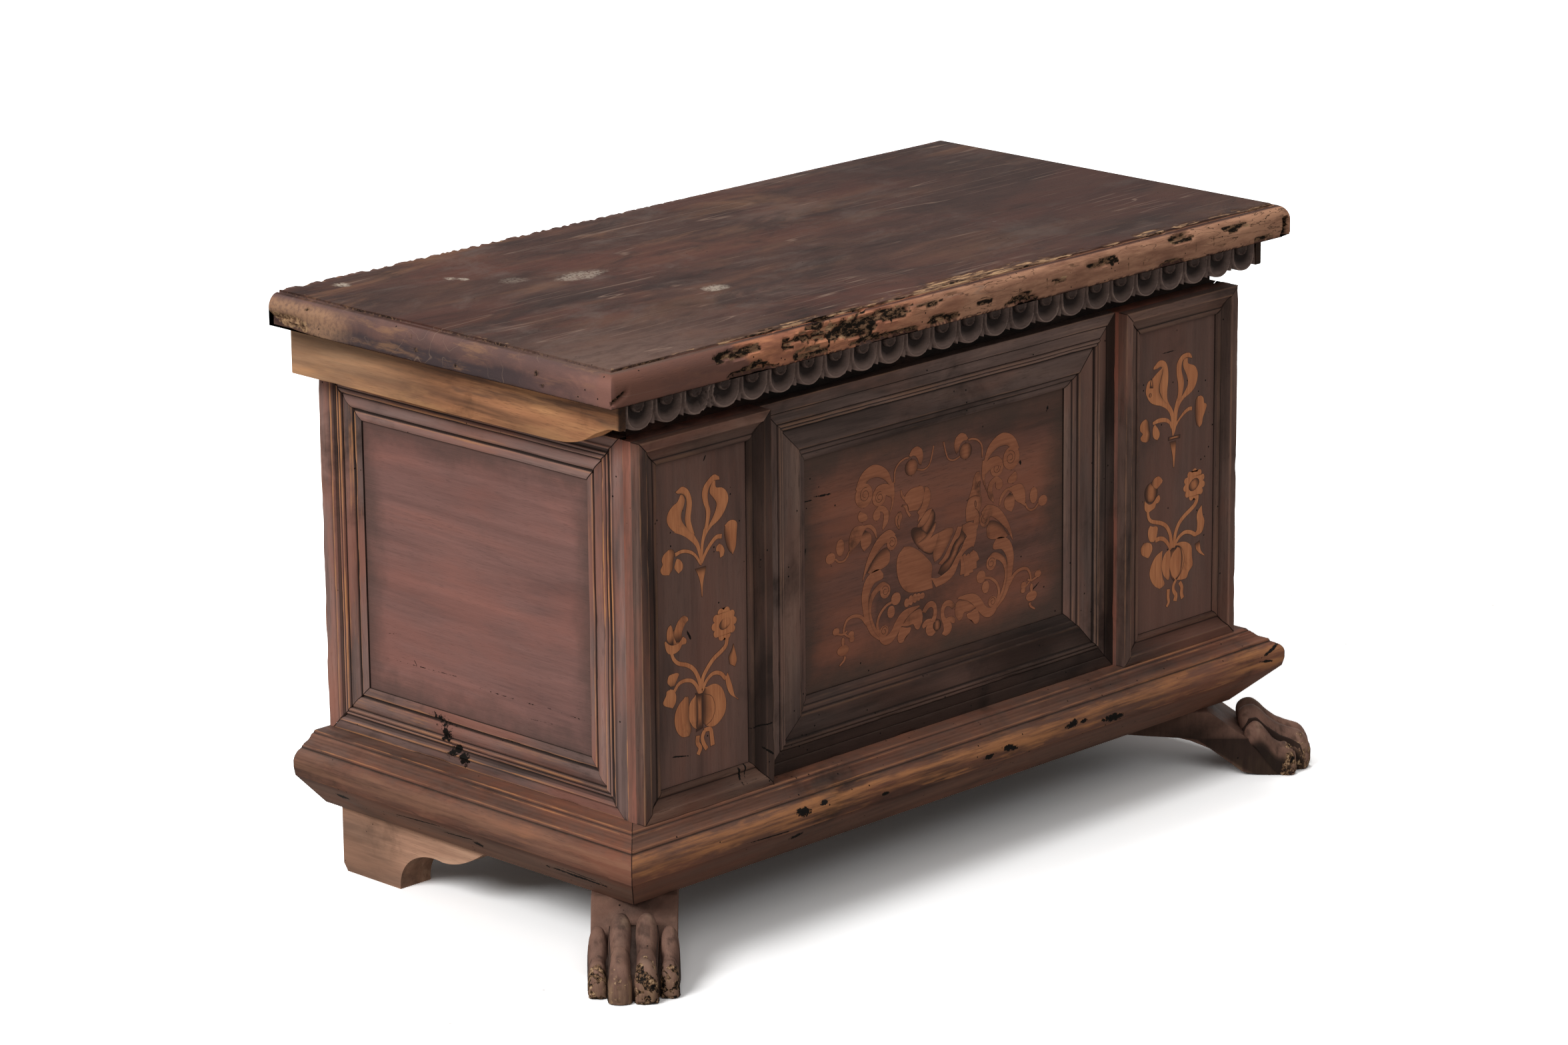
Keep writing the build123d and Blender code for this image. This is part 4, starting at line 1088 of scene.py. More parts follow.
def toeSheet(place, half, outer, crumbled, seed):
    # rings fan from a spine near the floor out to the toe's silhouette, so that they lie down as it falls to its tip
    rings, ringPoints = 64, 30
    outline = through(pawLook["outerToe" if outer else "innerToe"], rings)
    spine = through(pawLook["outerSpine" if outer else "innerSpine"], rings)
    share = np.linspace(0, 1, rings)
    # a little wider over its two joints, slimmer between them and at its root
    swell = 0.05 * bell(share, 0.27, 0.12) - 0.05 * bell(share, 0.5, 0.1) + 0.04 * bell(share, 0.74, 0.1)
    width = half * (0.97 + swell) * (0.55 + 0.45 * rise(share, -0.02, 0.12))
    turn = np.linspace(0, math.pi, ringPoints)
    out = np.sin(turn) ** 0.62
    side = -np.sign(np.cos(turn)) * np.abs(np.cos(turn)) ** 0.8
    run = spine[:, :1] + (outline - spine)[:, :1] * out
    up = spine[:, 1:] + (outline - spine)[:, 1:] * out
    points = spots(run, place + width[:, None] * side, up)
    tip = rise(share, 0.54, 0.72)[:, None] * crumbled * np.ones(ringPoints)
    coarse, fine = cloud(points, 7.0, seed, 3), cloud(points, 2.6, seed + 9, 2)
    inward = spots(spine[:, 0], place, spine[:, 1])[:, None] - points
    inward = inward / np.maximum(np.linalg.norm(inward, axis=-1, keepdims=True), 1e-6)
    eaten = tip * np.clip(1.0 + 1.6 * coarse + 1.2 * fine, 0, None) * 0.9
    knife = 0.22 * cloud(points, 11.0, seed + 3, 2) + 0.5 * bell(share, 0.47, 0.03)[:, None] * out
    points = points + inward * (np.clip(eaten, 0, 3.2) + knife)[..., None]
    # deep: painted shade low on each toe's sides and in the crease at its knuckle, with dirt in random patches
    deep = 1 - rise(out, 0.42, 0.72) * np.ones((rings, 1))
    deep = np.maximum(deep, 0.75 * bell(share, 0.50, 0.014)[:, None] * rise(fine, -0.6, 0.4))
    deep = np.maximum(deep, 0.5 * rise(coarse, 0.25, 0.8))
    worn = bell(share, 0.27, 0.10)[:, None] * out * 0.6 + bell(share, 0.72, 0.10)[:, None] * out * 0.7
    crumb = np.clip(tip * rise(coarse + 0.5 * fine, -0.55, 0.2), 0, 1)
    return closedRun(points, deep=np.clip(deep, 0, 1), worn=np.clip(worn, 0, 1), crumb=crumb)


def slabSheet(outline, half, seed, deepBelow):
    # an outline in the upright plane of the diagonal, carried across it, with knife-rough faces and eased sides
    ring = spacedOut(softened(np.asarray(outline + outline[:1], float), 1.5), 3.0)[:-1]
    across = np.concatenate([[-half, -half], np.linspace(-half + 0.7, half - 0.7, 25), [half, half]])
    ease = np.concatenate([[1.0, 0.9], np.zeros(25), [0.9, 1.0]])
    middle = ring.mean(axis=0)
    inward = (middle - ring) / np.maximum(np.linalg.norm(middle - ring, axis=1, keepdims=True), 1e-6)
    flat = ring[None] + inward[None] * ease[:, None, None] * 0.8
    points = spots(flat[..., 0], across[:, None], flat[..., 1])
    inward = spots(inward[:, 0], 0.0, inward[:, 1])[None]
    points[1:-1] = points[1:-1] + 0.35 * cloud(points[1:-1], 16.0, seed, 3)[..., None] * inward
    # deep: painted shade on the part nearer the tips, under and behind the toes
    front = 1 - rise(points[..., 0], deepBelow - 12, deepBelow + 12)
    return closedRun(points, deep=np.clip(front, 0, 1) * 0.9)


def addPaws():
    for index, (hand, side) in enumerate((("left", -1), ("right", 1))):
        low, high = nodeBox(f"{hand}_paw_foot")
        reach = (pawLook["length"] + pawLook["plankHalf"]) / math.sqrt(2) / 1000
        origin = np.array([(high[0] if side < 0 else low[0]) + side * reach, high[1] - reach, low[2]])
        inward = np.array([-side, 1.0, 0.0]) / math.sqrt(2)
        across = np.array([-side, -1.0, 0.0]) / math.sqrt(2)
        sheets = [slabSheet(pawLook["plank"], pawLook["plankHalf"], 307 + index, 70.0),
                  slabSheet(pawLook["core"], 24.0, 311 + index, 200.0)]
        for number, (place, half, outer, onLeft, onRight) in enumerate(pawLook["toes"]):
            sheets.append(toeSheet(place, half, outer, onLeft if side < 0 else onRight, 317 + index * 41 + number * 7))
        placed = []
        for points, quads, marks in sheets:
            world = origin + points[:, :1] / 1000 * inward + points[:, 1:2] / 1000 * across
            world[:, 2] = origin[2] + np.clip(points[:, 2], 0.0, None) / 1000
            placed.append((world, quads, marks))
        addPiece(f"{hand}PawFoot", placed, pawWood, replaced=(f"{hand}_paw_foot",), sharp=60)


addPaws()
print("paws carved")


# Lid

lidLook = {
    "thick": 34.0,
    "fieldInset": 15.0,
    "fieldStep": 2.0,
    "roundHeight": 16.0,
    "acrossStep": 2.6,
    # where the restored length of the front edge ends
    "smoothUntil": -318.0,
    # eaten places on the front edge: along, height over the underside, half length, half height, depth
    "eaten": ((-326, 23, 32, 5.5, 4.0), (-308, 3, 30, 8.0, 3.5), (-262, 19, 12, 6.0, 5.0), (-203, 23, 52, 10.5, 5.0),
              (-172, 15, 32, 8.0, 3.4), (-236, 9, 28, 8.0, 2.0), (-150, 4, 32, 5.0, 2.8), (-118, 24, 30, 5.0, 3.4),
              (-42, 5, 30, 5.5, 4.0), (-92, 2, 20, 3.5, 2.5), (74, 7, 22, 6.5, 3.6), (20, 12, 12, 3.0, 1.2),
              (196, 21, 22, 4.0, 2.6), (130, 15, 14, 3.0, 1.0), (325, 25, 26, 4.0, 3.2), (300, 2, 20, 3.0, 2.2),
              (410, 23, 20, 3.2, 1.6), (493, 12, 9, 10.0, 7.0), (455, 3, 16, 3.0, 1.6), (-60, 24, 20, 2.5, 1.6)),
    # fine shrinkage cracks across the front edge
    "cracks": (-205, -118, 22, 70, 112, 150, 156, 236, 262, 344, 372),
    # cracks in the left end: place along it from the board's middle, lean
    "endCracks": ((30, 0.7), (-27, 0.15), (-147, 0.7), (196, -0.4)),
}


def lidProfile():
    # inset from the edge and height over the underside: face, quarter round, hollow, step up to the field
    look = lidLook
    low = look["thick"] - look["fieldStep"] - look["roundHeight"]
    angle = np.linspace(0, math.pi / 2, 9)[1:]
    arc = np.stack([(look["fieldInset"] - 2.6) * (1 - np.cos(angle)), low + look["roundHeight"] * np.sin(angle)], -1)
    face = np.stack([np.zeros(7), np.linspace(0, low, 7)], -1)
    face[0] = (0.8, 0.0)
    step = np.array([(13.0, 31.1), (13.6, 30.9), (14.5, 31.0), (14.9, 31.4), (15.0, 33.2), (15.5, 33.9), (16.6, 34.0)])
    return np.concatenate([face, arc, step])


def lidDamage(x, y, z, onFront, onLeft):
    # Displacement outwards of the edge (negative is eaten away), lift of the surface, and the colour marks
    look = lidLook
    spot = spots(x, y, z)
    shares = np.zeros_like(x)
    ragged = cloud(spot * (0.35, 1.0, 1.3), 5.0, 3, 4)
    coarse = cloud(spot * (0.4, 1.0, 1.2), 14.0, 5, 3)
    for along, height, halfLong, halfHigh, depth in look["eaten"]:
        away = np.sqrt(((x - along) / halfLong) ** 2 + ((z - height) / halfHigh) ** 2)
        shares = np.maximum(shares, depth * rise(-(away - 1.05 + 0.55 * coarse + 0.3 * ragged), -0.1, 0.28) * onFront)
    steps = np.round(shares * (1.0 + 0.5 * ragged) * 1.5) / 1.5
    eaten = np.where(shares > 0.05, 0.35 * shares + 0.65 * steps, 0.0)
    crumb = 0.5 * ragged * rise(shares, 0.2, 1.0)
    push = -(eaten + crumb)
    dark = rise(shares, 0.10, 0.8) * rise(-ragged, -0.80, 0.15)
    pale = rise(shares, 0.1, 0.8) * rise(ragged, 0.05, 0.55)
    old = rise(x + 0.9 * (z - 17), look["smoothUntil"] - 5, look["smoothUntil"] + 3) * onFront
    fibres = cloud(spot * (0.12, 1.0, 1.6), 4.0, 9, 3)
    push = push - old * (0.28 * rise(fibres, 0.2, 0.8) + 0.25 * np.abs(coarse))
    flakes = rise(cloud(spot * (0.3, 1.0, 1.4), 9.0, 21, 3), 0.62, 0.80) * old
    push = push - 0.8 * flakes
    dark = np.maximum(dark, 0.55 * flakes)
    for crack in look["cracks"]:
        wander = crack + 2.0 * cloud(spots(z, 0.0, crack), 6.0, 2)
        dark = np.maximum(dark, 0.75 * bell(x, wander, 0.9) * onFront * rise(z, 4, 9) * rise(-z, -24, -19))
    for crack, lean in look["endCracks"]:
        wander = crack + lean * (z - 15) + 1.6 * cloud(spots(z, 0.0, crack), 6.0, 4)
        line = bell(y, wander, 1.6) * onLeft * rise(z, 1, 6) * (1 - rise(z, 26, 31))
        dark = np.maximum(dark, 0.9 * line)
        push = push - 0.9 * line
    slot = bell((z - 9.5) - (x + 490) * 0.42, 0, 2.2) * rise(-x, 476, 482) * onFront
    push = push - 5.0 * slot
    dark = np.maximum(dark, slot)
    # broken corners: right front, left back underneath, ragged back edge on the left
    corner = bell(x, 502, 9) * onFront
    push = push - corner * (2.0 + 3.2 * np.abs(coarse) + 2.5 * np.abs(ragged))
    pale = np.maximum(pale, 0.55 * corner)
    broken = onLeft * rise(y, 165, 232) * rise(-z, -20, -8)
    push = push - broken * (4.0 + 5.0 * np.abs(coarse) + 2.5 * ragged)
    pale = np.maximum(pale, rise(broken, 0.1, 0.5))
    lifted = np.maximum(rise(broken, 0.2, 0.9) * (4.0 + 4.0 * coarse), 2.4 * rise(shares, 0.6, 2.0) * rise(-z, -5, -1))
    lifted = lifted * rise(-z, -9, -2)
    return push, lifted, np.clip(dark, 0, 1), np.clip(pale, 0, 1), old


def addLid():
    low, high = nodeBox("lid_board")
    size = 1000 * (high - low)
    halfX, front, back = size[0] / 2, -size[1] / 2, size[1] / 2
    profile = lidProfile()
    count = len(profile)
    inner = profile[-1, 0]
    # shares along the sides: even along the front, closer together towards the front on the ends
    alongX = np.linspace(0, 1, int(size[0] / lidLook["acrossStep"]) + 1)
    alongY = np.concatenate([np.linspace(0, 0.16, 34)[:-1], np.linspace(0.16, 1, 52)])

    def ringRow(k):
        inset = profile[k, 0]
        x0, x1, y0 = -halfX + inset, halfX - inset, front + inset
        left = np.stack([np.full(len(alongY), x0), (y0 + (back - y0) * alongY)[::-1]], -1)
        middle = np.stack([x0 + (x1 - x0) * alongX, np.full(len(alongX), y0)], -1)
        right = np.stack([np.full(len(alongY), x1), y0 + (back - y0) * alongY], -1)
        return np.concatenate([left, middle[1:-1], right])

    ring = np.stack([ringRow(k) for k in range(count)], 1)
    nY, nX = len(alongY), len(alongX)
    x, y = ring[..., 0], ring[..., 1]
    z = np.broadcast_to(profile[:, 1], x.shape)
    sides = np.zeros((3, len(ring)))
    sides[0, :nY], sides[1, nY - 1:nY + nX - 1], sides[2, nY + nX - 2:] = 1, 1, 1
    onLeft, onFront, onRight = sides[:, :, None] * np.ones(count)
    outwards = np.stack([-sides[0] + sides[2], -sides[1]], -1)
    outwards /= np.maximum(np.linalg.norm(outwards, axis=1, keepdims=True), 1e-9)
    slope = np.gradient(profile, axis=0)
    facing = np.stack([-slope[:, 1], slope[:, 0]], -1)
    facing /= np.linalg.norm(facing, axis=1, keepdims=True)
    push, lifted, dark, pale, old = lidDamage(x, y, z, onFront, onLeft)
    moveOut = push * -facing[None, :, 0]
    ringXY = ring + outwards[:, None] * moveOut[..., None]
    ringZ = z + np.where(facing[None, :, 1] > 0, push * facing[None, :, 1], 0) + lifted

    xs = -halfX + inner + (size[0] - 2 * inner) * alongX
    ys = front + inner + (back - front - inner) * alongY
    fieldX, fieldY = np.meshgrid(xs, ys, indexing="ij")

    def fieldHeight(x, y, z):
        # splinters lifted off the front edge of the field: ragged strips along the grain, up to 1.8 mm deep
        spot = spots(x, y)
        fromEdge = y - (front + inner)
        reach = 8.0 + 15.0 * rise(cloud(spot * (1, 0, 0), 90.0, 31), -0.3, 0.7)
        reach = reach * rise(x, -420, -310) * (1 - 0.55 * rise(x, 20, 160)) * (1 - 0.6 * rise(x, 330, 460))
        ragged = cloud(spot * (0.22, 1.3, 1), 3.2, 33, 3)
        torn = rise((reach - fromEdge) / 12.0 + 0.9 * ragged, 0.1, 0.8) * (reach > 0.5)
        depth = torn * (0.9 + 0.7 * ragged)
        wave = 0.35 * cloud(spot * (1, 1, 0), 160.0, 35, 2)
        fromSide = np.minimum(x + halfX - inner, halfX - inner - x)
        wave = wave * rise(fromSide, 0, 30) * rise(fromEdge, 0, 20)
        sidePale = 0.5 * rise(-fromSide + 2.5 * ragged, -4, 0) * rise(cloud(spot, 30, 37), 0.0, 0.5)
        streaks = cloud(spot * (0.1, 1.6, 1), 3.0, 39, 3)
        streak, shadow = torn * rise(streaks, -0.35, 0.25), torn * (1 - rise(streaks, -0.6, -0.1))
        chipped = np.clip(0.5 + 1.4 * cloud(spot * (1, 0.4, 1), 5.0, 41, 4), 0, 1.5)
        atBack = rise(y, 236, 247) * rise(-x, -160, 120) * chipped
        pale = np.maximum(streak, np.maximum(sidePale, 0.6 * atBack))
        return z - np.clip(depth, 0, 1.8) - 1.4 * atBack + wave, pale, shadow, torn

    edgeTorn, edgePale, edgeDark, edgeBare = fieldHeight(ringXY[..., 0], ringXY[..., 1], 0 * z)
    near = (np.arange(count) >= count - 3)[None, :] * onFront
    ringZ = ringZ + edgeTorn * near
    ringZ[:, -1] = z[:, -1] + edgeTorn[:, -1]
    pale = np.maximum(pale, edgePale * near)
    dark = np.maximum(dark, edgeDark * near)
    ringXY[:, -1] = ring[:, -1]
    fieldZ, fieldPale, fieldDark, fieldBare = fieldHeight(fieldX, fieldY, np.full_like(fieldX, lidLook["thick"]))
    edge = (profile[:, 1] < 31.5)[None, :] * np.ones_like(x)
    # hollow: painted shade in the hollow before the field, strongest on the left of the front
    hollow = ((profile[:, 0] > 12.8) & (profile[:, 0] < 15.2))[None, :] * np.ones_like(x)
    fade = onFront * (0.25 + 0.75 * rise(-x, 320, 350)) + onLeft * 0.6 + onRight * 0.4
    hollow = hollow * np.clip(fade, 0, 1) * (0.8 + 0.5 * cloud(spots(x, y), 40.0, 43))
    golden = edge * (old + (onRight > 0) * 0.8)
    ringTop = np.concatenate([ringXY, np.clip(ringZ, 0, lidLook["thick"])[..., None]], -1)
    fieldTop = spots(fieldX, fieldY, np.clip(fieldZ, 0, lidLook["thick"]))
    ringFloor = ringTop.copy()
    ringFloor[:, 1:, 2] = 0.0
    fieldFloor = fieldTop.copy()
    fieldFloor[..., 2] = 0.0
    backTop = np.concatenate([ringTop[0], fieldTop[1:-1, -1], ringTop[-1, ::-1]])
    backFloor = np.concatenate([ringFloor[0], fieldFloor[1:-1, -1], ringFloor[-1, ::-1]])
    backFace = np.stack([backTop, backTop * 0.5 + backFloor * 0.5, backFloor], 1)
    centre = np.array([0.0, 1000 * (low[1] + high[1]) / 2, 1000 * low[2]])

    def place(points):
        return (points + centre) / 1000.0

    # the dark mark also takes this painted shade in the hollow
    dark = np.maximum(dark, 0.95 * hollow)
    sheets = [
        sheet(place(ringTop), edge=edge, tan=np.clip(golden, 0, 1), pale=pale, dark=dark, bare=edgeBare * near),
        sheet(place(fieldTop), pale=fieldPale, dark=fieldDark, bare=fieldBare),
        sheet(place(ringFloor), edge=0.3),
        sheet(place(fieldFloor), edge=0.3),
        sheet(place(backFace), edge=1.0, tan=0.15, pale=0.25),
    ]
    addPiece("lidBoard", sheets, lidWood, body="lid", replaced=("lid_board",), sharp=48)


addLid()
print("lid carved")

# Cleats under the lid's ends

def addCleats():
    stripHigh = nodeBox("carved_strip")[1]
    for hand, side in (("left", -1), ("right", 1)):
        low, high = nodeBox(f"{hand}_lid_cleat")
        outer = high[0] if side > 0 else low[0]
        inner = low[0] if side > 0 else high[0]
        rebate = side * stripHigh[0] + side * 0.0003
        tip, body = low[1], stripHigh[1] + 0.0003
        curve = through([(0, 25), (16, 24.0), (34, 16.5), (53, 6.5), (74, 1.4), (96, 0)], 34)
        y = np.concatenate([tip + curve[:, 0] / 1000.0, np.linspace(tip + 0.1, high[1], 60)[1:]])
        foot = np.concatenate([low[2] + curve[:, 1] / 1000.0, np.full(59, low[2])])
        split = np.searchsorted(y, body)
        y, foot = np.insert(y, split, [body, body]), np.insert(foot, split, [foot[split]] * 2)
        inside = np.where(np.arange(len(y)) <= split, rebate, inner)
        corner = 0.0012
        nick = 0.0009 * rise(cloud(spots(y * 1000), 16.0, 51 + side, 3), 0.1, 0.9)
        top = high[2]
        ring = np.stack([
            spots(inside, y, top),
            spots(inside, y, foot),
            spots(outer - side * corner - side * nick, y, foot),
            spots(outer - side * corner * 0.3 - side * nick * 0.5, y, foot + corner * 0.3 + nick * 0.5),
            spots(outer, y, foot + corner + nick),
            spots(outer, y, foot * 0.5 + top * 0.5),
            spots(outer, y, top),
        ], 1)
        rub = np.array([0, 0.2, 1, 1, 0.7, 0.1, 0])[None, :] * np.ones((len(ring), 1))
        # painted shade on the cleat's inner face against the case, darkest under the lid
        innerShade = np.zeros_like(rub)
        rub[0], innerShade[0], innerShade[1] = 0.0, 0.9, 0.35
        addPiece(f"{hand}LidCleat", [closedRun(ring, worn=rub, deep=innerShade)], cleatWood, body="lid",
                 replaced=(f"{hand}_lid_cleat",))


addCleats()
print("cleats cut")

# Carved strip

stripLook = {
    "lobes": 24,
    "perLobe": 36,
    "rimHalf": 16.4,
    "rimTop": 16.5,
    "bowl": 7.0,
    "bossAt": 9.0,
    "bossRadius": 7.6,
    "fillet": 7.4,
    "broken": -350.0,
}


def addStrip():
    low, high = nodeBox("carved_strip")
    look = stripLook
    long, tall = 1000 * (high - low)[[0, 2]]
    pitch = long / look["lobes"]
    across = np.linspace(0, long, look["lobes"] * look["perLobe"] + 1)
    lobe = np.minimum(np.floor(across / pitch), look["lobes"] - 1)
    u = across - (lobe + 0.5) * pitch
    down = np.concatenate([[0.0, look["fillet"] - 0.8, look["fillet"]], np.linspace(look["fillet"] + 0.6, tall, 36)])
    share = down / tall
    # lower edge: a round end under each lobe and a flared dart between two of them, each lobe cut by hand
    vary = cloud(spots(lobe * 31.0), 17.0, 61, 1)
    roundEnd = tall - 0.4 - 9.5 * (1 - np.sqrt(np.clip(1 - (u / (look["rimHalf"] + 1.4)) ** 2, 0, 1)))
    dart = tall - 3.6 - 0.55 * (pitch / 2 - np.abs(u)) + 0.6 * vary
    edge = np.maximum(roundEnd + 0.4 * vary - 0.6, dart)
    w = share[None, :] * edge[:, None]
    u = u[:, None] + 0 * w
    gap = pitch / 2 - np.abs(u)
    # the lobe's rim: straight sides above, half an ellipse below
    below = np.clip(w - look["rimTop"], 0, None)
    reach = edge.max() - look["rimTop"] - 1.4
    radial = np.sqrt((u / look["rimHalf"]) ** 2 + (below / reach) ** 2)
    rimAway = (radial - 1) * look["rimHalf"] * 0.85
    rim = bell(rimAway, 0, 1.0)
    inside = np.clip(1 - radial, 0, 1)
    depth = 1.2 + look["bowl"] * (1 - np.clip(radial, 0, 1) ** 2.2) * (1 - 0.6 * rise(w, 14, tall)) * (radial < 1)
    depth = depth - 1.3 * rim
    outside = rise(radial, 1.02, 1.12)
    spread = 0.9 + 2.6 * rise(w, 9, tall)
    hollow = bell(gap, spread + 1.6, 1.5) * outside
    ridge = bell(gap, 0, 0.9) * outside
    depth = depth + 2.4 * hollow * rise(w, 8, 18) - 0.9 * ridge + 0.8 * outside
    depth = depth + 1.4 * outside * bell(gap, spread * 0.6, 0.8)
    bossAway = np.sqrt(u**2 + (w - look["bossAt"]) ** 2)
    boss = rise(-bossAway, -look["bossRadius"] - 0.5, -look["bossRadius"] + 0.7)
    dome = 3.8 - 2.4 * bell(bossAway, look["bossRadius"] - 0.8, 1.1) - 0.8 * bell(bossAway, 3.6, 0.8)
    depth = depth * (1 - boss) + dome * boss
    fillet = rise(-w, -look["fillet"] - 0.3, -look["fillet"] + 0.5)
    depth = depth * (1 - fillet) + 0.3 * fillet
    tool = cloud(spots(across[:, None], w), 4.5, 63, 3)
    depth = depth + 0.35 * tool * (1 - fillet)
    hurt = bell(across[:, None] - long / 2, look["broken"], 15.0) * rise(w, 7, 14)
    depth = depth + hurt * (1.6 + 3.0 * np.abs(tool) - 0.55 * depth)
    depth = np.clip(depth, 0.05, 9.5)
    w = np.clip(w - hurt * 1.6 * np.abs(tool) * (share[None, :] > 0.97), 0, tall)
    x, top = low[0] + across / 1000.0, high[2]
    front = spots(x[:, None], low[1] + depth / 1000.0, top - w / 1000.0)
    mid = spots(x, low[1] + 0.0115, np.maximum(top - w[:, -1] / 1000.0, low[2]))
    rear, head = spots(x, high[1], low[2] + 0.004), spots(x, high[1], top)
    points = np.concatenate([front, mid[:, None], rear[:, None], head[:, None]], 1)
    crescent = bell(bossAway, look["bossRadius"] - 0.4, 0.8) * rise(w, look["bossAt"] - 1, look["bossAt"] + 4)
    worn = np.clip(0.9 * rim + 0.8 * crescent + 0.5 * ridge, 0, 1) * (w > look["fillet"] + 0.8)
    bossFace = boss * rise(-bossAway, 1.4 - look["bossRadius"], 2.6 - look["bossRadius"])
    # deep: painted shade in the bowls, more the deeper in, and on the face of each boss
    deep = np.clip(np.maximum((depth - 2.0) / 3.8, 0.6 * bossFace), 0, 1)
    # the rows behind and under the strip are painted dark, as shade under the lid
    behind = ((0, 0), (0, 3))
    strip = closedRun(points, worn=np.pad(worn, behind), deep=np.pad(deep, behind, constant_values=0.8))
    addPiece("carvedStrip", [strip], carvedWood, body="lid", replaced=("carved_strip",), sharp=50)


addStrip()
print("strip carved")


# Marquetry: thin pale pieces let into the panels, their edges dark and parts of them smoked in hot sand.
# Each leaf is the surface ruled between its two edges, each edge a smooth curve through its points (across, up)
# in millimetres from the middle of its panel. smoke is how dark it is at (start, end, first edge, second edge).

inlayLook = {
    # millimetres: how far the pieces stand out, how wide and deep the saw cut round them is, the lift between
    # neighbours
    "proud": 0.22,
    "joint": 0.65,
    "sunk": 0.3,
    "lift": 0.022,
    # points along a piece, along a flower and across a piece
    "curvePoints": 26,
    "flowerPoints": 90,
    "across": 8,
}
noSmoke, allSmoked = (0, 0, 0, 0), (1, 1, 1, 1)


def leaf(first, second, smoke=noSmoke, level=0.0, joint=inlayLook["joint"], count=inlayLook["curvePoints"]):
    # level is how far it lies above the others, count how many points its length has
    columns = inlayLook["across"]
    first, second = through(first, count), through(second, count)
    middle = (first + second) / 2
    run = np.gradient(middle, axis=0)
    run /= np.maximum(np.linalg.norm(run, axis=1, keepdims=True), 1e-6)
    side = second - first
    width = np.linalg.norm(side, axis=1, keepdims=True)
    square = np.stack([run[:, 1], -run[:, 0]], -1)
    square *= np.sign((square * side).sum(1).sum()) or 1.0
    side = np.where(width > 0.6, side / np.maximum(width, 1e-6), square)
    share = np.linspace(0, 1, columns)
    plane = first[:, None] * (1 - share)[None, :, None] + second[:, None] * share[None, :, None]
    height = np.full(plane.shape[:2], inlayLook["proud"] + level)
    along = np.linspace(0, 1, count)[:, None]
    dark = np.maximum.reduce([
        smoke[0] * np.clip(1 - along * 2.2, 0, 1) + 0 * share,
        smoke[1] * np.clip(along * 2.2 - 1.2, 0, 1) + 0 * share,
        smoke[2] * np.clip(1 - share * 1.8, 0, 1) + 0 * along,
        smoke[3] * np.clip(share * 1.8 - 0.8, 0, 1) + 0 * along,
    ])
    rim = np.zeros_like(height)
    for grow, lift in ((joint, 0.05), (0.0, -inlayLook["sunk"])):
        plane = np.concatenate([plane[:, :1] - grow * side[:, None], plane, plane[:, -1:] + grow * side[:, None]], 1)
        plane = np.concatenate([plane[:1] - grow * run[:1, None], plane, plane[-1:] + grow * run[-1:, None]], 0)
        height = np.pad(height, 1, constant_values=lift)
        dark = np.pad(dark, 1, mode="edge")
        rim = np.pad(rim, 1, constant_values=1.0)
        side, run = np.pad(side, ((1, 1), (0, 0)), mode="edge"), np.pad(run, ((1, 1), (0, 0)), mode="edge")
    return np.concatenate([plane, height[..., None]], -1), {"smoke": np.clip(dark, 0, 1), "rim": rim}


def stem(line, width, smoke=noSmoke, level=0.0, joint=inlayLook["joint"], steps=16):
    # a stem: its centre line moved half its width to either side; width may change from start to end
    line = through(line, steps)
    run = np.gradient(line, axis=0)
    run /= np.linalg.norm(run, axis=1, keepdims=True)
    half = np.linspace(*(width if isinstance(width, tuple) else (width, width)), len(line))[:, None] / 2
    side = np.stack([run[:, 1], -run[:, 0]], -1) * half
    return leaf(line - side, line + side, smoke, level, joint)


def disc(x, z, wide, high, smoke=noSmoke, level=0.0, turn=0.0):
    # a berry: the two halves of an ellipse
    angle = np.linspace(0, math.pi, 9)
    halves = [np.stack([sign * wide * np.sin(angle), -high * np.cos(angle)], -1) for sign in (-1, 1)]
    c, s = math.cos(turn), math.sin(turn)
    halves = [half @ np.array([[c, s], [-s, c]]) + (x, z) for half in halves]
    return leaf(*halves, smoke, level)


def flower(x, z, radius, petals, depth, smoke=noSmoke):
    # a daisy: the two halves of a circle whose radius swells once for each petal
    angle = np.linspace(0, math.pi, 40)
    halves = []
    for sign in (-1, 1):
        reach = radius - depth * (1 - np.abs(np.sin(petals / 2 * angle * sign + 0.3 * petals)) ** 0.6)
        halves.append(np.stack([x + sign * reach * np.sin(angle), z - reach * np.cos(angle)], -1))
    return leaf(*halves, smoke, count=inlayLook["flowerPoints"])


def sawCut(line, width=0.45):
    # a thin dark saw cut lying on the pieces
    points, marks = stem(line, width, level=0.03, joint=0.03, steps=40)
    return points, {"smoke": np.ones(points.shape[:2]), "rim": np.ones(points.shape[:2])}


def volute(x, z, radius, turns, start, hand):
    # a spiral: the radius shrinks evenly while the angle runs on
    t = np.linspace(0, 1, 22)
    angle = start + hand * turns * 2 * math.pi * t
    reach = radius * (1 - 0.72 * t)
    return np.stack([x + reach * np.cos(angle), z + reach * np.sin(angle)], -1)


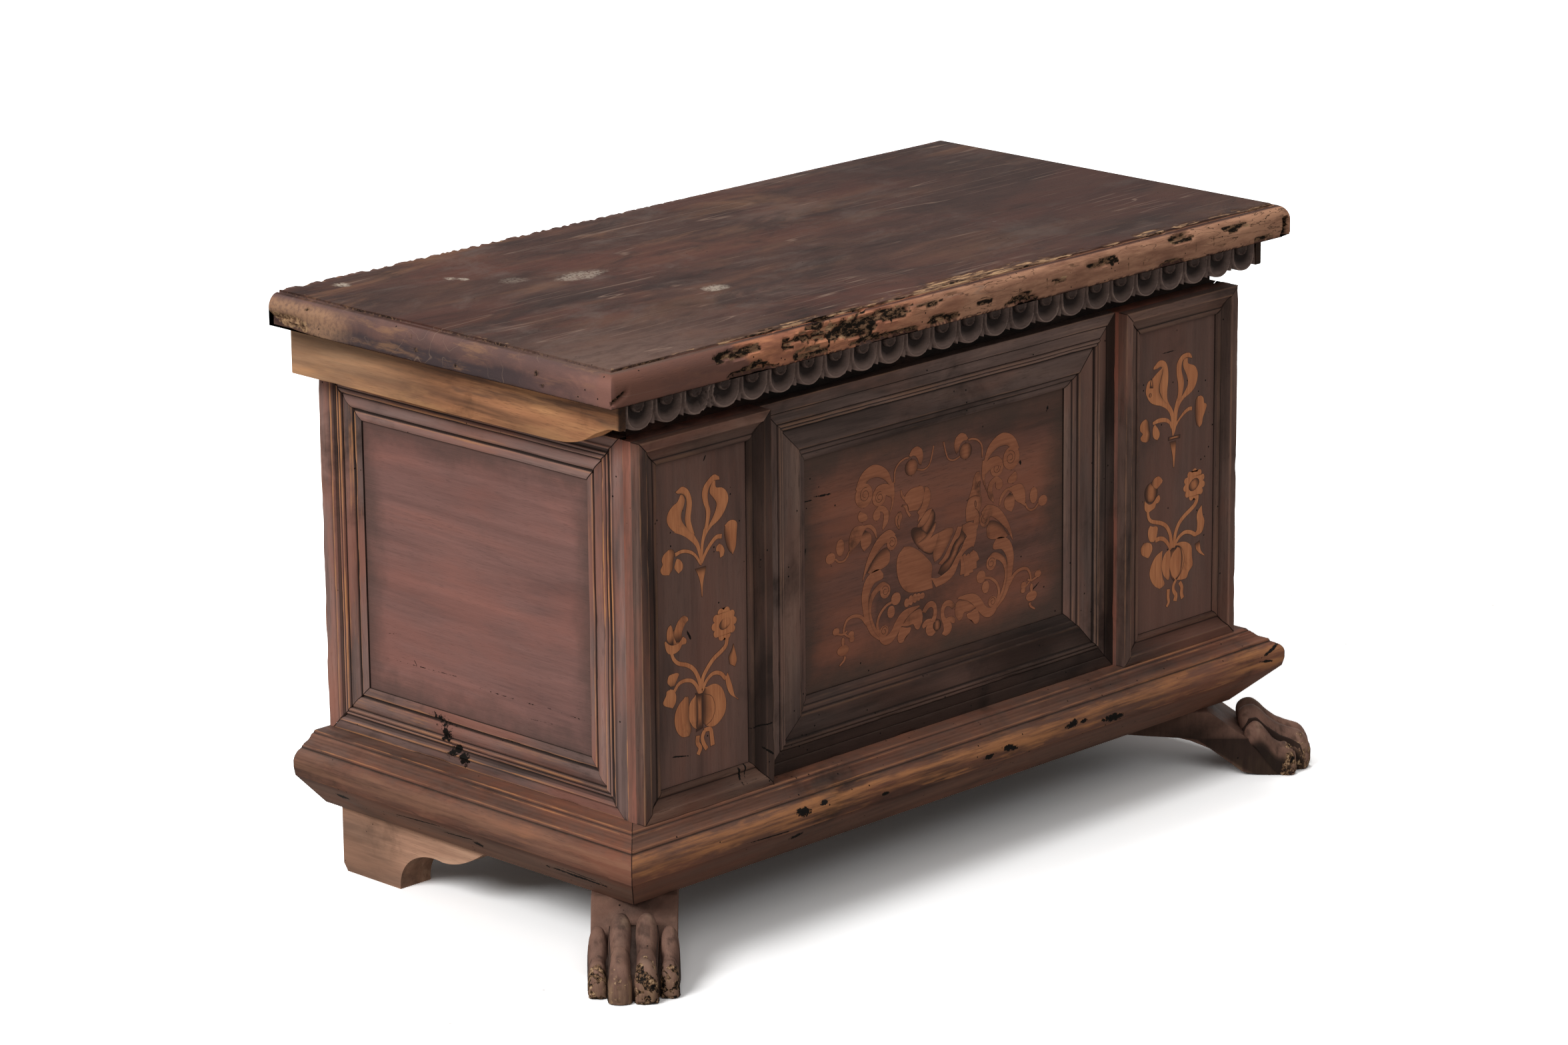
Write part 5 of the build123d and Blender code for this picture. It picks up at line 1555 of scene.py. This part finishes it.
rightPilasterInlay = [
    leaf([(-5, 44), (-7, 55), (-8.5, 66), (-14, 74), (-24, 80), (-37, 84.5)],
         [(-4, 44), (-3.5, 56), (-4, 68), (-8, 75.5), (-13, 81), (-18, 85)]),
    leaf([(-4, 44), (-4, 56), (-3.5, 68), (-1, 77), (3, 86)],
         [(-3, 45), (0, 52), (1.5, 62), (3, 70), (7, 77), (15, 83)]),
    leaf([(-16, 81), (-22, 88), (-26, 96), (-26, 104), (-23, 112), (-21.5, 119), (-25, 123), (-31, 122), (-36.5, 122)],
         [(-11, 79), (-14.5, 86), (-15, 95), (-13.5, 105), (-13.5, 115), (-15.5, 123), (-20, 128), (-28, 129.5),
          (-36.5, 124)],
         (0, 0, 0.4, 0)),
    leaf([(-22, 80), (-33, 83), (-42, 88), (-48, 97), (-48, 104), (-45, 110), (-39, 112), (-31, 117), (-23, 121)],
         [(-16, 82), (-24, 89), (-28, 97), (-27.5, 103), (-26, 108), (-24, 113), (-23, 116), (-22.5, 119),
          (-22.5, 121)],
         (0, 0, 0, 0.4)),
    leaf([(-43, 103), (-42, 109), (-40, 112)], [(-37.5, 102), (-38, 108), (-39, 112)], allSmoked, 0.04),
    disc(-42, 95, 2.0, 2.3, allSmoked, 0.04),
    leaf([(1.5, 81), (3.5, 90), (3, 100), (1, 108), (0.5, 118), (3, 124), (9, 129), (17, 130), (22, 128.5), (25, 124)],
         [(8, 82), (10.5, 90), (12, 97), (11, 104), (8.5, 111), (8, 118), (10, 123), (15, 125.5), (20, 125),
          (24.5, 123.5)],
         (0, 0, 0, 0.35)),
    leaf([(8, 82.5), (15, 89.5), (19, 95), (19, 101), (16, 108), (12, 115), (11, 120), (13, 124), (17.5, 124.5)],
         [(14, 82), (24, 86), (31, 92), (34.5, 102), (33, 109), (29, 114), (22, 117), (18.5, 119), (18, 124)],
         (0, 0, 0.3, 0)),
    leaf([(-7.5, 52), (-11, 58), (-18, 61.5), (-28, 62.5), (-36.5, 62)],
         [(-6, 57), (-12, 63), (-20, 66), (-29, 66.5), (-37, 64.5)]),
    leaf([(0, 52.5), (6, 59), (14, 64), (21, 66.5), (25.5, 66)],
         [(0.5, 57), (7, 62.5), (14, 67.5), (21, 70), (25.8, 69.5)]),
    leaf([(-48, 45), (-54, 47), (-56.5, 51), (-53, 55), (-57, 59), (-57, 65), (-53, 69), (-48, 70)],
         [(-48, 45), (-43, 46), (-41.5, 52), (-43, 60), (-44.5, 67), (-48, 70)], (0, 0, 0, 0.8)),
    leaf([(-30, 44), (-35, 47), (-37, 52), (-36.5, 58), (-34.5, 61)],
         [(-30, 44), (-27, 47), (-26.5, 51), (-29, 56), (-34, 61.5)]),
    leaf([(38, 45), (34, 49), (32, 58), (31.5, 68), (32.5, 76), (35, 79)],
         [(38, 45), (42, 47.5), (43.5, 54), (46, 58.5), (49.5, 66), (48, 69), (45.5, 70), (44, 76), (40, 79), (36, 79)],
         (0, 0, 0.8, 0)),
    leaf([(-3, 9), (-4, 18), (-6, 28), (-9, 37)], [(-2.5, 9), (-1.5, 18), (-0.5, 28), (0, 37)], (0, 0.8, 0, 0)),
    stem([(-12, 41.5), (-3, 41.5), (7, 41)], (3, 3), allSmoked, -0.1), flower(31, -17, 17.5, 11, 4.2),
    disc(30.5, -17, 8.6, 6.2, (1, 1, 0.9, 0.9), 0.05, 0.4), disc(-39, -12, 10, 11, allSmoked, -0.12),
    leaf([(-49, -19), (-49, -28), (-44, -32.5), (-39, -31.5), (-33, -29.5), (-31, -25.5), (-27, -25), (-24.5, -21),
          (-26, -17.5)],
         [(-48.5, -20), (-45, -23), (-42, -24.6), (-38, -24.8), (-35, -23.5), (-32, -21), (-30, -19), (-28, -17.6)]),
    leaf([(-38, -3), (-34, -7), (-30, -9), (-26, -7), (-22, -4.5)],
         [(-37, 0), (-33, 2.5), (-28, 3.5), (-24, 1.5), (-21, -2)], (0.7, 0, 0.3, 0)),
    stem([(-44, -32), (-43, -38), (-39, -43), (-31, -46), (-22, -49), (-14, -54), (-8, -63), (-6, -72), (-5, -80)],
         (3.2, 4.4)),
    stem([(36, -30), (35.5, -35), (32, -40), (25, -44), (15, -49), (7, -55), (2, -63), (-0.5, -72), (-2, -80)],
         (4.4, 4)), stem([(-31, -66), (-24, -65.5), (-17, -68), (-11, -74), (-6, -81)], (4.4, 3.4)),
    leaf([(-34, -67), (-40, -65), (-43, -58), (-42.5, -52), (-40, -48.5)],
         [(-30, -63.5), (-28.5, -58), (-28, -53), (-31, -50.5), (-36, -50)]),
    leaf([(-43, -83), (-47, -81), (-53, -77), (-54, -70), (-50, -65.5)],
         [(-43, -83), (-40, -80.5), (-36.5, -75), (-38, -69), (-44, -66), (-50, -65.5)], (0, 0.6, 0, 0)),
    stem([(-1, -79), (6, -71), (16, -67), (26, -69), (33, -73)], (3, 4)),
    leaf([(32, -72), (36, -69), (37, -61), (36, -54), (38, -48), (43.5, -43)],
         [(33, -75), (43, -73), (47, -67), (48, -60), (45, -53), (43.5, -43)]),
    leaf([(34, -84), (36, -90), (41, -95), (49, -99.5)],
         [(40.5, -82), (41.5, -88), (43, -93), (49, -99.5)], (0.8, 0, 0, 0)),
    leaf([(-20, -80), (-30, -84), (-37, -92), (-40, -101), (-37, -110), (-31, -117), (-24, -121)],
         [(-20, -80), (-20.5, -88), (-21, -100), (-19, -110), (-16, -117), (-19, -120), (-24, -121)],
         (0, 0, 0, 0.35)),
    leaf([(-9, -81), (-15, -84), (-19.5, -91), (-20, -100), (-17, -108), (-11, -114)],
         [(-9, -81), (-7, -84), (-6.5, -92), (-8, -102), (-8, -110), (-9, -114)], (0, 0.4, 0, 0)),
    leaf([(-9, -80), (-6, -90), (-7.5, -102), (-5, -112), (0, -118)],
         [(4, -80), (-1, -86), (-5, -93), (-5, -106), (1, -117)], allSmoked, -0.1),
    leaf([(5, -81), (-2, -86), (-6.5, -93), (-7, -102), (-4, -110), (1, -116)],
         [(5, -81), (9, -84), (11, -92), (10.5, -104), (7, -112), (1, -116)], (0, 0, 0, 0.4)),
    leaf([(5, -80), (10, -85), (12, -95), (10, -106), (4, -116)],
         [(9, -79), (15, -87), (17, -96), (14, -107), (5, -117)], allSmoked, -0.1),
    leaf([(-1, -78), (8, -80), (14, -86), (16.5, -95), (15, -104), (10, -112), (4, -117)],
         [(-1, -77.5), (10, -76.5), (20, -79), (27, -85), (28, -95), (29.5, -106), (23, -112), (20, -118),
          (12, -118.5), (4, -117)],
         (0, 0, 0.35, 0)), stem([(-9.5, -125), (-10, -133), (-9, -139), (-12, -143.5)], (4.2, 2.4)),
    stem([(3, -117), (-1, -122), (-1, -128), (3, -134), (1.5, -140)], (2.5, 5)),
    stem([(9, -121), (12.5, -127), (12, -134), (14, -139.5)], (4, 4.4)),
]

leftPilasterInlay = [
    leaf([(-1, 52), (-3, 62), (-7, 72), (-15, 80), (-25, 87), (-36, 92)],
         [(-0.5, 52), (-0.5, 64), (-3, 74), (-8, 82), (-13, 89)]),
    leaf([(-0.5, 52), (-0.5, 64), (0.5, 75), (4, 87)], [(0, 52), (2, 62), (3.5, 73), (8, 82), (15, 88)]),
    leaf([(-14, 86), (-19, 94), (-21, 102), (-20, 109), (-18.5, 118), (-20, 125), (-25, 129), (-30, 130), (-32, 131)],
         [(-9, 85), (-13, 96), (-14, 103), (-12.5, 111), (-12, 118), (-14, 126), (-18, 132), (-25, 135.5), (-33, 132)],
         (0, 0, 0.4, 0)),
    leaf([(-20, 87), (-35, 92.5), (-43, 100), (-45.5, 107), (-43, 114), (-37, 119), (-31, 122), (-27, 127.5)],
         [(-12, 86), (-21, 95), (-26, 102), (-26.5, 109), (-23, 116), (-21.5, 122), (-24, 127), (-27, 128)],
         (0, 0, 0, 0.35)),
    leaf([(4, 85), (7, 95), (7.5, 105), (4, 114), (2.5, 123), (5, 130), (12, 136), (19, 139), (25, 136)],
         [(9, 86), (11.5, 95), (13, 104), (10.5, 112), (9.5, 121), (12, 128), (16, 132), (20, 133.5), (26, 133)],
         (0, 0, 0, 0.35)),
    leaf([(9, 87), (17, 97), (21, 104), (22, 110), (18, 116), (13, 122), (14, 128), (17, 132.5)],
         [(14, 87.5), (25, 93), (33, 101), (37.5, 111), (35, 119), (29, 124), (21, 126), (20, 132.5)],
         (0, 0, 0.35, 0)), stem([(-1, 53), (-8, 63), (-16, 68.5), (-26, 71), (-35, 69.5)], (2, 3.2)),
    stem([(0, 54), (7, 64), (14, 71), (21, 75.5), (28, 75)], (3, 4)),
    leaf([(-44, 51), (-52, 53), (-55, 58), (-52, 63), (-53, 68), (-50, 73), (-44, 76)],
         [(-44, 51), (-39, 56), (-38, 64), (-36.5, 72), (-40, 76), (-44, 76)], (0, 0, 0, 0.7)),
    leaf([(-31, 50), (-36, 56), (-35, 61), (-33, 65)], [(-31, 50), (-26, 53), (-25.5, 58), (-29, 63), (-33, 65)]),
    leaf([(26, 54), (25, 60), (21, 61.5), (21.5, 66), (25, 68)], [(30, 55), (31.5, 60), (29, 65), (25, 68)]),
    leaf([(43, 54), (38, 59), (34, 68), (32, 78), (33, 84)],
         [(43, 54), (47, 61), (48.5, 75), (49, 84), (44, 88), (38, 88), (33, 85)], (0, 0, 0.8, 0)),
    leaf([(0.3, 20), (-1, 32), (-4, 42), (-8, 49)], [(0.5, 20), (1.5, 32), (4, 42), (6, 49)], (0, 0.8, 0, 0)),
    leaf([(-42, -20), (-47, -15), (-48, -8), (-46, -2), (-43, 0)],
         [(-40, -19), (-40, -10), (-41, -3), (-43, 0)], (0.9, 0, 0, 0.3)),
    disc(-36, -14, 7, 9, allSmoked, -0.12),
    leaf([(-35, -19), (-38, -12), (-36.5, -5), (-32, 2), (-25, 5.5), (-20, 3)],
         [(-28, -18), (-28, -11), (-25, -5), (-21, -1), (-19, 0), (-20, 3)], (0.9, 0, 0.3, 0)),
    leaf([(-51, -16), (-50, -21), (-48, -26), (-44, -29), (-37, -29.5), (-31, -27), (-28, -23), (-23, -23),
          (-22, -19), (-26, -15.5)],
         [(-50, -15), (-46, -19), (-43, -20.6), (-40, -21.4), (-37, -21.4), (-34, -21), (-31, -20), (-29, -18),
          (-28, -17)],
         ),
    stem([(-42, -29), (-39.5, -35), (-33, -41), (-22, -45), (-13, -51), (-7, -60), (-3.5, -70), (-3, -78)],
         (3, 4.4)), flower(30, -14.5, 17, 10, 4.0), disc(31, -14.5, 8, 5.6, (1, 0.4, 0.9, 0.3), 0.05, 0.3),
    stem([(34, -29), (32, -37), (25, -42), (15, -47), (6, -55), (0, -63), (-2, -72)], (4, 4)),
    stem([(-39, -68), (-33, -62), (-24, -60.5), (-15, -63), (-9, -69), (-5, -77)], (3, 3.4)),
    leaf([(-44, -62), (-48, -57), (-46, -51), (-42, -50)],
         [(-39, -62), (-35, -56), (-33, -52), (-36, -50), (-42, -50)], (0.5, 0, 0, 0)),
    leaf([(-43, -84), (-52, -80), (-54, -76), (-50, -70), (-49, -66), (-44, -65)],
         [(-42, -84.5), (-38, -80), (-37, -73), (-40, -67), (-44, -65)]),
    stem([(-1, -76), (5, -67), (14, -62), (24, -64), (31, -71)], (3, 3.6)),
    leaf([(31, -71), (33, -80), (38, -89), (48, -96)], [(34, -66), (37, -73), (40, -81), (43, -91), (48, -96)]),
    leaf([(37, -57), (36, -50), (40, -44), (42.5, -38.5)],
         [(44, -61), (46.5, -55), (45, -47), (42.5, -38.5)], (0.3, 0.6, 0.8, 0.4)),
    leaf([(-24, -77), (-33, -83), (-38, -91), (-39, -100), (-36, -110), (-29, -117), (-20, -118)],
         [(-24, -77), (-20, -80), (-20, -100), (-17, -112), (-20, -118)], (0, 0, 0, 0.6)),
    leaf([(-10, -79), (-17, -84), (-20, -93), (-19, -102), (-14, -110), (-10, -113)],
         [(-10, -79), (-9, -84), (-9, -100), (-10, -113)], (0, 0, 0, 0.7)),
    leaf([(-10, -77), (-9, -90), (-9, -104), (-10, -116)],
         [(-1, -77), (-1, -90), (-1, -104), (-1, -114)], allSmoked, -0.1),
    leaf([(3, -74), (-1, -80), (-1, -95), (-1, -108), (4, -113)],
         [(3, -74), (16, -73), (26, -80), (31, -94), (29, -106), (20, -114), (12, -116), (4, -113)], (0, 0, 0.9, 0)),
    sawCut([(2, -80), (12, -85), (16, -97), (12, -108), (3, -113)]),
    stem([(-8, -121), (-8.5, -128), (-5, -134), (-8, -140)], (4.6, 4)),
    stem([(1, -118), (-2, -124), (0, -131), (4, -137)], (4, 4)),
    stem([(1, -117), (9, -118), (11, -126), (12, -135)], (3.5, 5)),
]


def placedInlay(rows, panel):
    # lays the flat pieces on a panel's face, across along X and up along Z
    low, high = nodeBox(panel)
    middle = np.array([(low[0] + high[0]) / 2, low[1], (low[2] + high[2]) / 2])
    parts = []
    for index, (points, marks) in enumerate(rows):
        # overlapping pieces lie a few hundredths of a millimetre apart
        proud = points[..., 2] + inlayLook["lift"] * (index % 7)
        placed = spots(points[..., 0], -proud, points[..., 1]) / 1000.0 + middle
        first = np.cross(placed[-1, placed.shape[1] // 2] - placed[0, placed.shape[1] // 2],
                         placed[len(placed) // 2, -1] - placed[len(placed) // 2, 0])
        parts.append(sheet(placed, flip=bool(first[1] > 0), **marks))
    return parts


centreLeft = [
    # the tall C scroll, from its foot up
    leaf([(-84, -89), (-96, -80), (-104, -66), (-108, -50), (-109, -36), (-104, -22), (-94, -15), (-84, -14),
          (-78, -20)],
         [(-84, -87), (-93, -77), (-99, -62), (-100, -46), (-98, -36), (-92, -28), (-86, -26), (-81, -25.5),
          (-78, -24)],
         (0, 0, 0, 0.3)),
    leaf([(-84, -87), (-94, -75), (-99, -58), (-98, -42), (-90, -33), (-79, -28.5), (-70, -33)],
         [(-83, -84), (-91, -72), (-96, -58), (-94, -46), (-88, -39), (-82, -36.5), (-77, -38)], (0, 0.2, 0.5, 0)),
    disc(-75, -39, 7.2, 7.6), sawCut(volute(-75, -39, 6.0, 1.3, 2.6, -1)),
    leaf([(-108, -21), (-104, -8), (-98, 4), (-88, 16), (-78, 22), (-68, 24), (-60, 18)],
         [(-107, -20), (-100, -9), (-92, -1), (-84, 6), (-76, 11), (-70, 11), (-66, 9)], (0, 0, 0, 0.35)),
    disc(-65, 10, 7.2, 7.8), sawCut(volute(-65, 10, 6.0, 1.3, 2.2, -1)),
    leaf([(-101, -14), (-92, -3), (-82, 4), (-73, 6), (-69, 2)],
         [(-97, -16), (-86, -15), (-75, -13), (-69, -9), (-68, -2)], (0.3, 0, 0.8, 0)),
    # volutes above it
    leaf([(-64, 72), (-70, 85), (-80, 93), (-92, 96.5), (-104, 93), (-112, 86), (-117, 76)],
         [(-68, 71), (-75, 78), (-85, 83), (-94, 83.5), (-100, 82), (-104, 78), (-107, 72)], (0, 0, 0, 0.4)),
    disc(-105.5, 67.5, 12.2, 12.4), sawCut(volute(-104, 68, 8.0, 1.6, 1.2, 1)),
    leaf([(-67, 70), (-74, 73.5), (-85, 73), (-92, 67)],
         [(-66, 58), (-74, 62), (-82, 64), (-90, 62)], (0, 0, 0, 0.3)), disc(-83.5, 61.5, 9.6, 9.4),
    sawCut(volute(-83, 61, 6.5, 1.6, 1.2, 1)),
    leaf([(-71, 70), (-66, 60), (-65, 50), (-69, 40)],
         [(-62, 73), (-61, 60), (-63, 50), (-69, 38)], (0, 0.5, 0.3, 0)),
    leaf([(-78, 26), (-71, 33), (-70, 42), (-74, 49), (-83, 52), (-90, 48)],
         [(-79, 28), (-76.5, 37), (-77, 43), (-81, 46), (-85, 46), (-88, 43)], (0, 0, 0, 0.2)),
    disc(-87, 43, 5.2, 5.4),
    leaf([(-108, 40), (-113, 43), (-113.5, 49), (-111, 52)],
         [(-108, 40), (-101, 42), (-102, 47), (-111, 52)], (0.5, 0, 0, 0)),
    # hooded flower with its drop and berries
    leaf([(-126, 12), (-127, 22), (-125, 31), (-119, 37), (-108, 37)],
         [(-120, 16), (-113, 20), (-109, 26), (-106, 31), (-100, 34)], (0, 0, 0, 0.2)),
    leaf([(-112, 37), (-104, 36), (-96, 35), (-89, 29), (-87, 20)],
         [(-108, 33), (-103, 34), (-96, 31), (-91, 26), (-88, 20)]),
    leaf([(-106, 10), (-110, 16), (-110, 24), (-104, 30)],
         [(-105, 10), (-97, 15), (-95, 21), (-97, 26), (-103, 30)], (0, 0.9, 0.2, 0)),
    disc(-140, 20.5, 5.6, 8.6), disc(-154, 12, 6.6, 5.6),
    stem([(-147, 10), (-142, 6), (-135, 5.5), (-130, 9), (-127, 14)], 1.7),
    # berries on the outer tendril
    stem([(-102, -68), (-110, -59), (-120, -55.5), (-130, -57), (-135, -64), (-136, -70)], (3.6, 1.8)),
    stem([(-145, -69), (-137, -71), (-131, -69)], 1.6), stem([(-136, -70), (-131, -74), (-127, -76)], 1.6),
    disc(-147, -66, 4.6, 3.7), disc(-125, -74, 4.2, 3.8, (0.3, 0.3, 0.3, 0.3)),
    disc(-124, -79, 3.8, 3.0, (0.4, 0.4, 0.4, 0.4)), disc(-137, -88, 8.2, 5.4, (0, 0.4, 0, 0)),
    disc(-137, -79, 1.9, 4.6), stem([(-134, -95), (-136, -99), (-142, -103)], (2.6, 1.2)),
    # inner tendril
    stem([(-84, -82), (-87, -72), (-83, -62), (-74, -55), (-66, -53)], (3.2, 2.0)),
    disc(-59.5, -50.5, 6.6, 6.6), disc(-66.5, -63, 5.2, 6.4),
    # acanthus under the bird
    leaf([(-83, -80), (-83, -90), (-75, -96), (-66, -95), (-58, -89), (-50, -80), (-40, -72), (-24, -66)],
         [(-77, -86), (-74, -87), (-70, -86), (-65, -82), (-60, -75), (-52, -68), (-42, -65), (-26, -65)],
         (0, 0.2, 0, 0)), disc(-77, -81, 6.2, 5.8), sawCut(volute(-77, -81, 5.0, 1.2, 0.4, 1)),
    leaf([(-53, -83), (-57, -92), (-55, -98), (-50, -99), (-46, -95)],
         [(-50, -83), (-44, -85), (-38, -86), (-39, -90), (-45, -94)]),
    leaf([(-53, -81), (-42, -83), (-34, -83), (-31, -88), (-26, -90), (-21, -84)],
         [(-48, -79), (-40, -73), (-32, -70), (-26, -69), (-22, -71), (-20, -77)], (0, 0, 0, 0.4)),
    leaf([(-21, -73), (-14, -66), (-6, -65), (0, -70), (1, -80), (-2, -88)],
         [(-16, -75), (-11, -71), (-6, -71), (-3.5, -76), (-5, -82), (-9, -85)], (0.5, 0, 0, 0)),
    leaf([(-4, -84), (-14, -83), (-20, -87), (-19, -91), (-15, -90)],
         [(-5, -86), (-9, -87), (-12, -88), (-14, -89), (-15, -90)]),
    leaf([(-5, -85), (-12, -88), (-15, -94), (-12, -100), (-6, -102)],
         [(-2, -87), (-3, -92), (-3, -96), (-1, -99), (-6, -102)]),
]
centreLeftFlower = [
    leaf([(-39, 96), (-35, 101), (-28, 103), (-21, 99), (-19, 91), (-22, 83)],
         [(-37, 94.5), (-33, 95), (-29, 93), (-26, 89), (-25, 85)], (0, 0.6, 0, 0)),
    disc(-36, 83, 8.8, 8.6, (0.75, 0.9, 0.8, 0.6), -0.05),
    stem([(-61, 72), (-60, 84), (-54, 91), (-46, 94), (-40, 94)], 1.5, (0.3, 0.3, 0.3, 0.3)),
    stem([(-27, 79), (-18, 77), (-10, 80), (-6, 88), (-3, 99)], 1.3, (0.4, 0.3, 0.3, 0.3)),
]
birdInlay = [
    leaf([(-5, -51), (-25, -50.5), (-42, -47), (-53, -36), (-58, -20), (-56, -6), (-47, 1.5)],
         [(-5, -51), (-7, -38), (-6, -27), (-14, -17), (-27, -6), (-38, 0), (-47, 1.5)], (0, 0, 0, 0.35)),
    leaf([(-40, 38), (-41, 44), (-46, 50), (-44, 56), (-36, 60.5), (-24, 61)],
         [(-27, 36.5), (-22, 41), (-19, 47), (-17.5, 54), (-20, 60), (-24, 61)]),
    disc(-35.5, 53.5, 4.2, 2.6, (0.9, 0.9, 0.6, 0.6), 0.05),
    leaf([(-52, 62), (-51, 56), (-47, 51)], [(-51, 62), (-48.5, 57), (-45, 53)]),
    leaf([(-50, 45), (-46, 43), (-43, 37), (-39, 31.5)],
         [(-49, 46), (-43, 44), (-41, 38), (-37, 33)], (0.6, 0, 0, 0)),
    leaf([(-55, 22), (-59, 28), (-59.5, 35), (-55, 39.5)],
         [(-53.5, 22), (-53, 28), (-50, 34), (-52, 39.5)], (0, 0.5, 0, 0)),
    sawCut([(-55, 24), (-57, 30), (-55, 36)], 0.6),
    leaf([(-27, 24), (-24.5, 30), (-27, 34), (-22, 38), (-19, 44), (-17, 52), (-16, 57)],
         [(-21, 27), (-14, 34), (-9.5, 41), (-8, 48), (-9, 53), (-12, 57), (-16, 58)], (0, 0.2, 0, 0.3)),
    leaf([(-27, 18), (-20, 18), (-12, 23), (-6, 33)],
         [(-27, 20), (-22, 25), (-14, 32), (-6, 33.5)], (0, 0, 0.4, 0)),
    leaf([(-25, -1), (-18, -3), (-10, 1), (-2, 10), (0, 17)],
         [(-26, 1.5), (-17, 5), (-9, 10), (-2, 17), (0, 17.5)], (0, 0, 0, 0.7)),
    leaf([(-18, -9), (-8, -13), (0, -9), (4, 0), (4, 5)],
         [(-19, -5), (-12, 0), (-4, 4), (0, 5), (4, 5.5)], (0.3, 0, 0.5, 0)),
    leaf([(-2, -24), (-4, -15), (0, -5), (4, 5)],
         [(7, -21), (14, -14), (22, -4), (26, 5), (18, 8), (5, 6)], (0, 0, 0.5, 0.5)),
    leaf([(4, -27), (12, -22), (20, -12), (28, -2), (33, 6)],
         [(9, -29), (18, -23), (23, -15), (29, -8), (35, -4), (39, 5)]),
    leaf([(4, -37), (9, -30), (20, -24), (27, -12), (35, -4), (40, 3)],
         [(8, -40), (22, -35), (31, -24), (37, -15), (44, -10), (42, 2)], allSmoked, -0.06),
    leaf([(-7, -40), (2, -42), (11, -40), (22, -35), (31, -25), (38, -19), (43, -11), (47, -7)],
         [(0, -51), (15, -49), (27, -43), (34, -32), (42, -23), (50, -20), (55, -19), (57, -15)], (0, 0, 0.2, 0)),
    leaf([(40, 1), (46, -6), (49, -13), (56, -20)],
         [(40, 6), (52, 7), (60, 1), (60.5, -10), (57, -19)], (0.5, 0, 0, 0.2)),
    leaf([(46, 9), (45.5, 22), (50, 33), (55, 44), (57, 52), (61, 58)],
         [(60, 8), (66, 18), (69, 27), (66.5, 35), (66.5, 46), (67.5, 51), (65, 58)], (0.3, 0, 0.3, 0)),
    disc(64.5, 45, 1.6, 3.4, allSmoked, 0.05, -0.5), disc(59.5, 25, 1.3, 3.6, allSmoked, 0.05, 0.1),
    sawCut([(46, 31), (56, 34), (66, 32)]), sawCut([(59, 21), (65, 14), (64, 6)]),
    leaf([(61, -2), (57, 4), (58, 10)], [(62, -2), (65.5, 8), (64, 14)]),
    stem([(38, -27), (40, -36), (40, -46)], (3, 7)), stem([(42, -26), (46, -36), (46.5, -49)], (4, 7.5)),
    stem([(47, -27), (52, -35), (52.5, -47)], (4, 6.5)), stem([(52, -26), (57.5, -34), (58.5, -44)], (4, 5.5)),
    stem([(55, -25), (60, -29), (63, -36)], (3, 4.5)), disc(-43.5, -58.5, 3.4, 4.6), disc(-37.5, -57, 3.2, 5.2),
    disc(-31.5, -56, 3.2, 4.8), disc(-26, -56, 3.0, 4.0), disc(-20.5, -56, 3.4, 3.2),
    disc(1.5, -92, 6, 6, allSmoked, 0.04), disc(-12, 20, 9, 14, allSmoked, -0.14, -0.6),
    disc(-19, 2, 22, 9, allSmoked, -0.14, -0.75),
]


def mirroredRows(rows, twice, drop):
    # the same leaves on the other hand: across turned about half of twice, and lowered by drop
    return [(spots(twice - points[..., 0], points[..., 1] - drop, points[..., 2]), marks) for points, marks in rows]


centreInlay = centreLeft + mirroredRows(centreLeft, 8.5, 4.5) + centreLeftFlower
centreInlay += mirroredRows(centreLeftFlower, 9.0, -1.0) + birdInlay

addPiece("leftPilasterInlay", placedInlay(leftPilasterInlay, "left_pilaster_panel"), pilasterInlayWood, closed=False)
addPiece("rightPilasterInlay", placedInlay(rightPilasterInlay, "right_pilaster_panel"), pilasterInlayWood, closed=False)
addPiece("centreInlay", placedInlay(centreInlay, "centre_panel"), centreInlayWood, closed=False)
print("marquetry laid")


# Floor

def makeFloor():
    # A white floor that keeps the object's shadow. The camera sees it overexposed, with faint stains and specks; it
    # throws less light back up than it shows
    material, g, place = newMaterial("paleFloor")
    stain = g.smooth(g.noise(place, 5.0, 6.0, 0.65), 0.50, 0.80)
    shown = g.tint(studio["floorShown"], stain, 0.35, (1.6, 1.5, 1.4))
    speck = g.smooth(g.noise(place, 60.0, 2.0, 0.6), 0.74, 0.78)
    shown = g.tint(shown, speck, 0.7, (0.5, 0.45, 0.4))
    seen = g.node("LightPath").outputs["Is Camera Ray"]
    surface = g.node("BsdfDiffuse", Color=g.mixColor(seen, studio["floorBounce"], shown))
    g.node("OutputMaterial", Surface=surface.outputs[0])
    mesh = bpy.data.meshes.new("floor")
    reach = 12.0
    mesh.from_pydata([(-reach, -reach, 0), (reach, -reach, 0), (reach, reach, 0), (-reach, reach, 0)], [],
                     [(0, 1, 2, 3)])
    floor = bpy.data.objects.new("floor", mesh)
    mesh.materials.append(material)
    bpy.context.scene.collection.objects.link(floor)


makeFloor()
print("floor laid")
